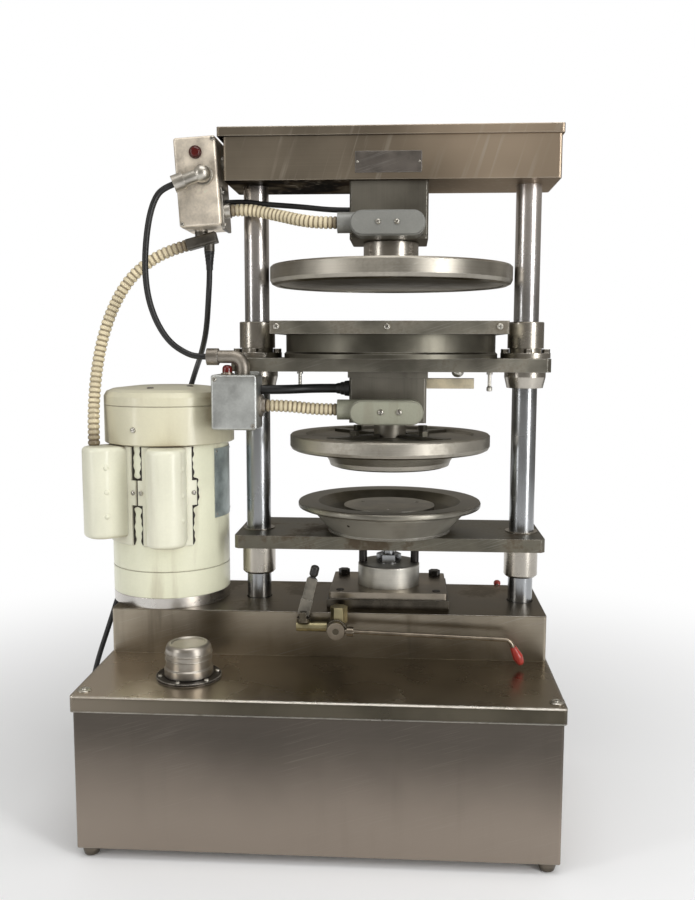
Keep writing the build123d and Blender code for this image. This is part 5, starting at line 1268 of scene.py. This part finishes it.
    def mains(self) -> None:
        """The mains cord down behind the press, its coil, and the plug at its end."""
        route = [(-170.0, 28.0, 842.6), (-170.0, 28.0, 808.6), (-172.9, 31.0, 774.5), (-182.9, 58.9, 722.4),
                 (-201.9, 102.9, 684.2), (-222.8, 154.9, 659.1), (-244.8, 182.8, 609.9), (-268.7, 186.8, 546.8),
                 (-294.7, 182.8, 476.7), (-321.7, 175.7, 401.5), (-346.6, 169.7, 329.4), (-369.6, 166.7, 263.2),
                 (-389.5, 166.6, 204.1), (-409.5, 168.6, 149.0), (-424.5, 174.6, 98.8), (-427.4, 188.5, 54.7),
                 (-414.4, 206.5, 20.6), (-386.3, 223.5, 5.0), (-348.3, 241.4, 4.9), (-309.3, 261.4, 4.7),
                 (-258.2, 277.4, 4.6)]
        points = np.concatenate([route, self.coil_points(), [self.plug_end]])
        cord = Cord("mains_lead", ("mains_cord", "mains_coil"), points, diameter=9.0, length=2.379)
        relief = make_piece("mains_relief", [self.relief(cord.exit())], Body.FRAME, RUBBER)
        tie = make_piece("coil_tie", [self.tie(150), self.tie(330)], Body.FRAME, PLATE_DARK)
        cord.round_cord(Body.FRAME)

    def build(self) -> None:
        """Make every conduit and cord."""
        self.conduits()
        self.leads()
        self.loop()
        self.mains()


@dataclass
class Fasteners:
    """Screws, pins and rivets, grouped by what they hold."""

    filler_screw_ring: float = 40.5
    flange_top: float = 235.0
    bead_heights: tuple[float, float] = (260.0, 267.5)
    knob_at: tuple[float, float] = (273.5, 190.0)
    pin_places: tuple[float, float] = (-43.0, 241.0)
    vent_at: Triple = (33.3, -3.5, 433.0)
    vent_way: Triple = (-0.396, -0.638, -0.66)
    turn_step: float = 37.0

    def pans(self, spots: Sequence[Sequence[float]], way: Way, drive: Drive, width: float, height: float,
             turn: float = 25.0) -> list[Surface]:
        """Pan heads of one size on one side, each turned a little further than the last.

        Args:
            spots: their places.
            way: the side that they face.
            drive: the recess in them.
            width: their width.
            height: their height.
            turn: the first one's turn in degrees.

        Returns:
            The grids of all heads.
        """
        seats = [(spot(*at), way.value, turn + self.turn_step * i) for i, at in enumerate(spots)]
        return heads(width, height, drive, seats)

    def base(self) -> None:
        """Lid screws in cup washers, the filler flange's screws and the knob behind the step."""
        lid = [(-318, -161, LID_TOP), (320, -162, LID_TOP)]
        cup = turned([(0, 0), (9.5, 0), (9.5, 0.8), (7.8, 2.2), (6.2, 2.6), (4.4, 1.4), (0, 1.4)])
        cups = [cup.placed(spot(*at), Way.UP.value) for at in lid]
        screws = self.pans([(x, y, z + 1.2) for x, y, z in lid], Way.UP, Drive.SLOT, 9.0, 2.2)
        make_piece("lid_screws", cups + screws, Body.FRAME, SCREW)
        x, y = FILLER_AXIS
        angle = np.radians(np.arange(6) * 60 + 20)
        ring = np.stack([x + self.filler_screw_ring * np.cos(angle), y + self.filler_screw_ring * np.sin(angle),
                         0 * angle + self.flange_top], axis=-1)
        make_piece("filler_flange_screws", self.pans(ring, Way.UP, Drive.CROSS, 7.0, 2.4), Body.FRAME, SCREW)
        bead = turned([(0, -1.4), (32.3, -1.4), (33.3, -0.9), (33.6, 0), (33.3, 0.9), (32.3, 1.4), (0, 1.4)], 72)
        beads = [bead.placed(spot(x, y, z), Way.UP.value) for z in self.bead_heights]
        make_piece("filler_cap_beads", beads, Body.CAP, CAP)
        stem = turned([(0, 0), (2.5, 0), (2.5, 12), (0, 12)], 20)
        knob = turned([(0, 0), (3, 0.2), (5.2, 2), (6, 5), (5.2, 8), (3, 9.8), (0, 10.2)], 28)
        x, y = self.knob_at
        make_piece("rear_knob", [knob.placed(spot(x, y, 296.3), Way.UP.value)], Body.FRAME, GRIP)
        make_piece("rear_knob_stem", [stem.placed(spot(x, y - 8, 299.4), Way.BACK.value)], Body.FRAME, SCREW)

    def platens(self) -> None:
        """Screws of the pressing plate and conduit covers, what hangs under the middle plate, and
        the dark dot on the mould's side."""
        front = [(-63, -74, 726), (90, -74, 726), (244, -74, 726)]
        make_piece("pressing_plate_screws", self.pans(front, Way.FRONT, Drive.CROSS, 9.5, 3.4), Body.MIDDLE, SCREW)
        middle = self.pans([(80.5, -12, 603.5), (107, -12, 603.5)], Way.FRONT, Drive.SLOT, 9.0, 2.8, 80)
        make_piece("mid_cover_screws", middle, Body.MIDDLE, SCREW)
        upper = self.pans([(75.1, -12, 875), (101.8, -12, 875)], Way.FRONT, Drive.SLOT, 8.0, 2.6, 10)
        make_piece("upper_cover_screws", upper, Body.FRAME, SCREW)
        pin = turned([(0, 0), (3.6, 0.6), (4.2, 2), (4.2, 6), (2.6, 8), (2.6, 29), (0, 29)], 24)
        collar = turned([(0, 0), (4.5, 0), (4.5, 3), (0, 3)], 24)
        pins = [pin.placed(spot(x, 40, 632), Way.UP.value) for x in self.pin_places]
        collars = [collar.placed(spot(x, 40, 657.5), Way.UP.value) for x in self.pin_places]
        make_piece("hanging_pins", pins + collars, Body.MIDDLE, SCREW)
        dome = turned([(0, 0), (9, 0), (9, 2), (7.5, 5), (4.5, 7.4), (0, 8.2)], 28)
        make_piece("dome_bolt", [dome.placed(spot(194, 45, 661), Way.DOWN.value)], Body.MIDDLE, SCREW)
        # The vent is a dark dot: the shade of its hole, painted on.
        vent = turned([(0, -0.6), (2.3, -0.6), (2.3, 0.25), (0, 0.25)], 20)
        make_piece("mould_vent", [vent.placed(spot(*self.vent_at), self.vent_way)], Body.LOWER, SEAM_SHADE_AND_GRIME)

    def build(self) -> None:
        """Make every group of fasteners."""
        self.base()
        self.platens()


@dataclass
class MotorTrim:
    """What is on the motor: dark seams of painted shade and grime round the covers, screws, plugs, notches, a bare
    plate.
    """

    shell_radius: float = 92.0
    cover_turns: tuple[float, float] = (223.0, 280.5)
    flange_low: float = 397.0
    flange_high: float = 548.0
    flange_half: float = 37.0
    ear_half: float = 44.0
    ear_middle: float = 478.0
    ear_tall: float = 19.0
    seam: float = 3.0
    ear_turn: float = 24.6
    notch_round: float = 26.0
    plate_turns: tuple[float, float] = (-30.0, 20.0)
    plate_heights: tuple[float, float] = (434.0, 542.0)
    cowl_screw_turns: Triple = (-108.2, 11.8, 131.8)

    def bent_sheet(self, angle: np.ndarray, high: np.ndarray, radius: float, thick: float) -> Surface:
        """A thin sheet bent round the motor.

        Args:
            angle: the grid's angles about the motor, in degrees.
            high: the grid's heights.
            radius: the radius of its inner face.
            thick: its thickness.

        Returns:
            The closed grid in the shared frame.
        """
        x, y = np.cos(np.radians(angle)), np.sin(np.radians(angle))
        faces = [np.stack([MOTOR_AXIS[0] + r * x, MOTOR_AXIS[1] + r * y, high], axis=-1)
                 for r in (radius + thick, radius)]
        return shell(*faces).grounded()

    def seam_sheet(self, turn: float) -> Surface:
        """The dark line round a cover's flange, painted shade of the gap under it along with grime: a dark sheet a
        little wider than the flange, whose half width steps out at the ears by a steep bell curve and wavers by two
        sines.

        Args:
            turn: the cover's angle about the motor.

        Returns:
            The closed grid in the shared frame.
        """
        z = np.linspace(self.flange_low + 1, self.flange_high, 90)
        reach = self.ear_tall + self.seam
        half = self.flange_half + (self.ear_half - self.flange_half) / (1 + ((z - self.ear_middle) / reach) ** 40)
        waver = 0.9 * np.sin(z / 5.3) + 0.7 * np.sin(z / 2.1 + turn)
        spread = np.degrees(np.arcsin((half + self.seam + waver) / (self.shell_radius + 3)))
        angle = turn + spread[:, None] * np.linspace(-1, 1, 25)[None]
        return self.bent_sheet(angle, z[:, None] + 0 * angle, self.shell_radius + 0.15, 1.2)

    def notches(self, turn: float, round_turn: float, heights: Sequence[float]) -> list[Surface]:
        """Pressed notches on a cover: flat domes where its side turns into its round front.

        Args:
            turn: the cover's angle about the motor.
            round_turn: how far round the cover's corner they sit, in degrees.
            heights: their heights.

        Returns:
            One dome for each height.
        """
        k = math.radians(round_turn)
        out, side = 119 + self.notch_round * math.sin(k), 3 + self.notch_round * math.cos(k)
        ahead, across = np.array(round_motor(turn)), np.array(round_motor(turn + 90))
        middle = np.array([*MOTOR_AXIS, 0.0]) + out * ahead + side * across
        dome = turned([(0, -1), (4.6, -1), (3.9, 0.5), (2.4, 1.3), (0, 1.6)], 24)
        normal = math.sin(k) * ahead + math.cos(k) * across
        return [dome.placed(spot(middle[0], middle[1], z), normal) for z in heights]

    def build(self) -> None:
        """Make the seams, screws, plugs, notches and the bare plate."""
        make_piece("cover_seams", [self.seam_sheet(turn) for turn in self.cover_turns], Body.FRAME, SEAM_SHADE_AND_GRIME)
        ears = [turn + side * self.ear_turn for turn in self.cover_turns for side in (-1, 1)]
        seats = [(on_motor(a, 94.9, self.ear_middle), round_motor(a), 30 + a) for a in ears]
        make_piece("ear_screws", heads(7.5, 2.4, Drive.SLOT, seats), Body.FRAME, SCREW)
        left = self.notches(self.cover_turns[0], 10, (518, 481, 444))
        front = self.notches(self.cover_turns[1], 27, (519, 480, 443))
        make_piece("cover_notches", left + front, Body.FRAME, CREAM)
        angle, high = np.meshgrid(np.linspace(*self.plate_turns, 30), np.linspace(*self.plate_heights, 8))
        sheet = self.bent_sheet(angle, high, self.shell_radius + 0.2, 0.7)
        make_piece("motor_plate", [sheet], Body.FRAME, PLATE_BLUE)
        seats = [(on_motor(a, 92.8, z), round_motor(a)) for a in (-27, 17) for z in (439, 537)]
        make_piece("motor_plate_rivets", heads(4.5, 1.2, Drive.PLAIN, seats), Body.FRAME, SCREW)
        seats = [(on_motor(a, 101.0, 573.7), round_motor(a), 20) for a in self.cowl_screw_turns]
        make_piece("cowl_screws", heads(9.0, 2.6, Drive.SLOT, seats), Body.FRAME, SCREW)
        plug = turned([(0, -1), (5.4, -1), (5.4, 0.6), (4.2, 1.4), (0, 1.6)], 24)
        plugs = [plug.placed(spot(*at), Way.UP.value) for at in ((-269, 26, 635.2), (-217, 62, 636.9))]
        make_piece("cowl_plugs", plugs, Body.FRAME, PLATE_DARK)


@dataclass
class BoxTrim:
    """Screws of the two junction boxes and the bare plate on the crosshead."""

    lean: float = -3.6
    upper_middle: Triple = (-194.0, 73.5, 940.0)
    lower_front: Triple = (-134.0, -18.0, 616.5)
    plate_middle: Triple = (88.5, 25.0, 964.75)
    plate_thick: float = 0.9

    def on_upper(self, x: float, y: float, z: float) -> np.ndarray:
        """A place on the leaning upper box, from millimetres in its own frame."""
        a = math.radians(self.lean)
        cx, cy, cz = self.upper_middle
        return spot(cx + x * math.cos(a) + z * math.sin(a), cy + y, cz - x * math.sin(a) + z * math.cos(a))

    def build(self) -> None:
        """Make the screws, and the plate where the press carries words that are left off."""
        a = math.radians(self.lean)
        right = (math.cos(a), 0.0, -math.sin(a))
        front = Way.FRONT.value
        seats = [(self.on_upper(35.5, -31, z), right, 40) for z in (-16, -64)]
        seats += [(self.on_upper(x, -42.5, z), front, 15) for x, z in ((-27, -60), (27, 60))]
        make_piece("upper_box_screws", heads(7.0, 2.2, Drive.SLOT, seats), Body.FRAME, SCREW)
        x, y, z = self.lower_front
        seats = [(spot(x + i, y, z + j), front, 60) for i, j in ((-28, 34), (28, -34))]
        make_piece("lower_box_screws", heads(7.0, 2.2, Drive.SLOT, seats), Body.MIDDLE, SCREW)
        x, y, z = self.plate_middle
        sheet = plate(97, 30.5, self.plate_thick, 1.5).placed(spot(x, y, z), front)
        make_piece("crosshead_plate", [sheet], Body.FRAME, PLATE_DARK)
        seats = [(spot(x + i, y - self.plate_thick, z), front) for i in (-45, 45)]
        make_piece("crosshead_plate_rivets", heads(3.6, 1.0, Drive.PLAIN, seats), Body.FRAME, SCREW)


@dataclass
class Studio:
    """The pale floor, the lamps, and grey screens that only reflections see."""

    floor_half: float = 9.0
    ambient: float = 0.5
    key_power: float = 34.0
    fill_power: float = 10.0
    top_power: float = 16.0
    lamp_middle: float = 0.1
    lamp_aim: float = 0.05
    screen_grey: float = 0.3
    screen_tint: Colour = (1.0, 0.94, 0.85)
    floor_drop: float = 0.0006
    fade_near: float = 0.45
    fade_far: float = 1.5

    def white_where_seen(self, s: Sketch) -> Socket:
        """One where the camera, a reflection or a view through glass looks, and nought elsewhere."""
        path = s.new("LightPath").outputs
        seen = s.math("ADD", path["Is Camera Ray"], path["Is Glossy Ray"], clamp=True)
        return s.math("ADD", seen, path["Is Transmission Ray"], clamp=True)

    def staged(self, name: str, grid: Surface, material: bpy.types.Material) -> bpy.types.Object:
        """Put up a sheet for the floor or the screen.

        Args:
            name: the sheet's name.
            grid: its points, in metres.
            material: what it is made of.

        Returns:
            The sheet's object.
        """
        mesh = bpy.data.meshes.new(name)
        mesh.from_pydata(grid.points.reshape(-1, 3).tolist(), [], grid.faces(0).tolist())
        mesh.materials.append(material)
        made = add_object(name, mesh)
        return made

    def world(self) -> None:
        """Even light all round, and plain white where it is seen."""
        world = bpy.data.worlds.new("studio")
        bpy.context.scene.world = world
        s = Sketch.clear(world)
        strength = s.math("MULTIPLY_ADD", self.white_where_seen(s), 1 - self.ambient, self.ambient)
        light = s.add("Background", Color=(1.0, 1.0, 1.0), Strength=strength)
        s.add("OutputWorld", Surface=light.outputs[0])

    def floor(self) -> None:
        """A flat pale floor that fades into white far from the press."""
        ticks = np.linspace(-self.floor_half, self.floor_half, 13)
        x, y = np.meshgrid(ticks, ticks)
        paper = bpy.data.materials.new("floor paper")
        s = Sketch.clear(paper)
        place = s.new("TexCoord").outputs["Object"]
        far = s.vector("LENGTH", place).outputs["Value"]
        tone = s.blend(s.noise(place, 3.0), (0.93, 0.93, 0.93), (0.95, 0.95, 0.95))
        matte = s.add("BsdfPrincipled", Base_Color=tone, Roughness=0.9)
        glow = s.add("Emission", Color=(1.0, 1.0, 1.0), Strength=1.0)
        share = s.math("MULTIPLY", s.ramp(far, self.fade_near, self.fade_far), self.white_where_seen(s))
        both = s.fill(s.new("MixShader"), share, matte.outputs[0], glow.outputs[0])
        s.add("OutputMaterial", Surface=both.outputs[0])
        self.staged("floor", Surface(np.stack([x, y, 0 * x - self.floor_drop], axis=-1), ring=False), paper)

    def screen(self) -> None:
        """A round grey wall with a roof, seen by reflections alone, so that metal has dark tones."""
        grey = bpy.data.materials.new("grey screen")
        s = Sketch.clear(grey)
        high = s.add("SeparateXYZ", Vector=s.new("TexCoord").outputs["Object"]).outputs["Z"]
        tone = s.math("MULTIPLY_ADD", s.ramp(high, 0.2, 3.2), self.screen_grey * 0.9, self.screen_grey * 0.6)
        glow = s.add("Emission", Color=self.screen_tint, Strength=tone)
        s.add("OutputMaterial", Surface=glow.outputs[0])
        wall = turned([(3.2, 0.0), (3.2, 2.6), (2.4, 3.2), (0.02, 3.4)], 48)
        screen = self.staged("grey_screen", wall, grey)
        screen.visible_camera = screen.visible_diffuse = screen.visible_shadow = False
        screen.visible_transmission = False

    def lamp(self, name: str, azimuth: float, away: float, high: float, size: tuple[float, float],
             power: float, aim: float = 0.5) -> None:
        """An area lamp round the press, aimed at its axis.

        Args:
            name: the lamp's name.
            azimuth: degrees to the right of straight in front.
            away: metres from the press.
            high: metres above the floor.
            size: its width and height in metres.
            power: its power in watts.
            aim: the height that it looks at, in metres.
        """
        data = bpy.data.lights.new(name, "AREA")
        data.shape, data.size, data.size_y, data.energy = "RECTANGLE", *size, power
        turn = math.radians(azimuth)
        place = np.array([self.lamp_middle + away * math.sin(turn), -away * math.cos(turn), high])
        add_object(name, data).matrix_world = pose_of(facing(place - (self.lamp_aim, 0.0, aim)), place)

    def build(self) -> None:
        """Set up the floor, the screens, the world and the lamps."""
        bpy.context.scene.view_settings.view_transform = "Standard"
        self.world()
        self.floor()
        self.screen()
        self.lamp("key", azimuth=47, away=2.4, high=1.0, size=(0.6, 2.0), power=self.key_power)
        self.lamp("fill", azimuth=-54, away=2.4, high=1.0, size=(0.3, 1.8), power=self.fill_power)
        self.lamp("top", azimuth=10, away=0.6, high=2.6, size=(1.6, 1.2), power=self.top_power)


def dress_nodes() -> None:
    """Give every node of the frame its finish."""
    for finish, names in NODE_FINISHES.items():
        for name in names.split():
            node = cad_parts[name]
            node.data.materials.clear()
            node.data.materials.append(finish.material())
    bare = sorted(set(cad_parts) - set(" ".join(NODE_FINISHES.values()).split()))
    LOG.info("dressed %d nodes, left bare: %s", len(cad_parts) - len(bare), bare)


def main() -> None:
    """Build the press: camera, cords, trim, finishes and studio."""
    logging.basicConfig(level=logging.INFO, format="%(name)s %(message)s")
    PhotoCamera().build()
    Wiring().build()
    Fasteners().build()
    MotorTrim().build()
    BoxTrim().build()
    dress_nodes()
    Studio().build()


if __name__ == "__main__":
    main()
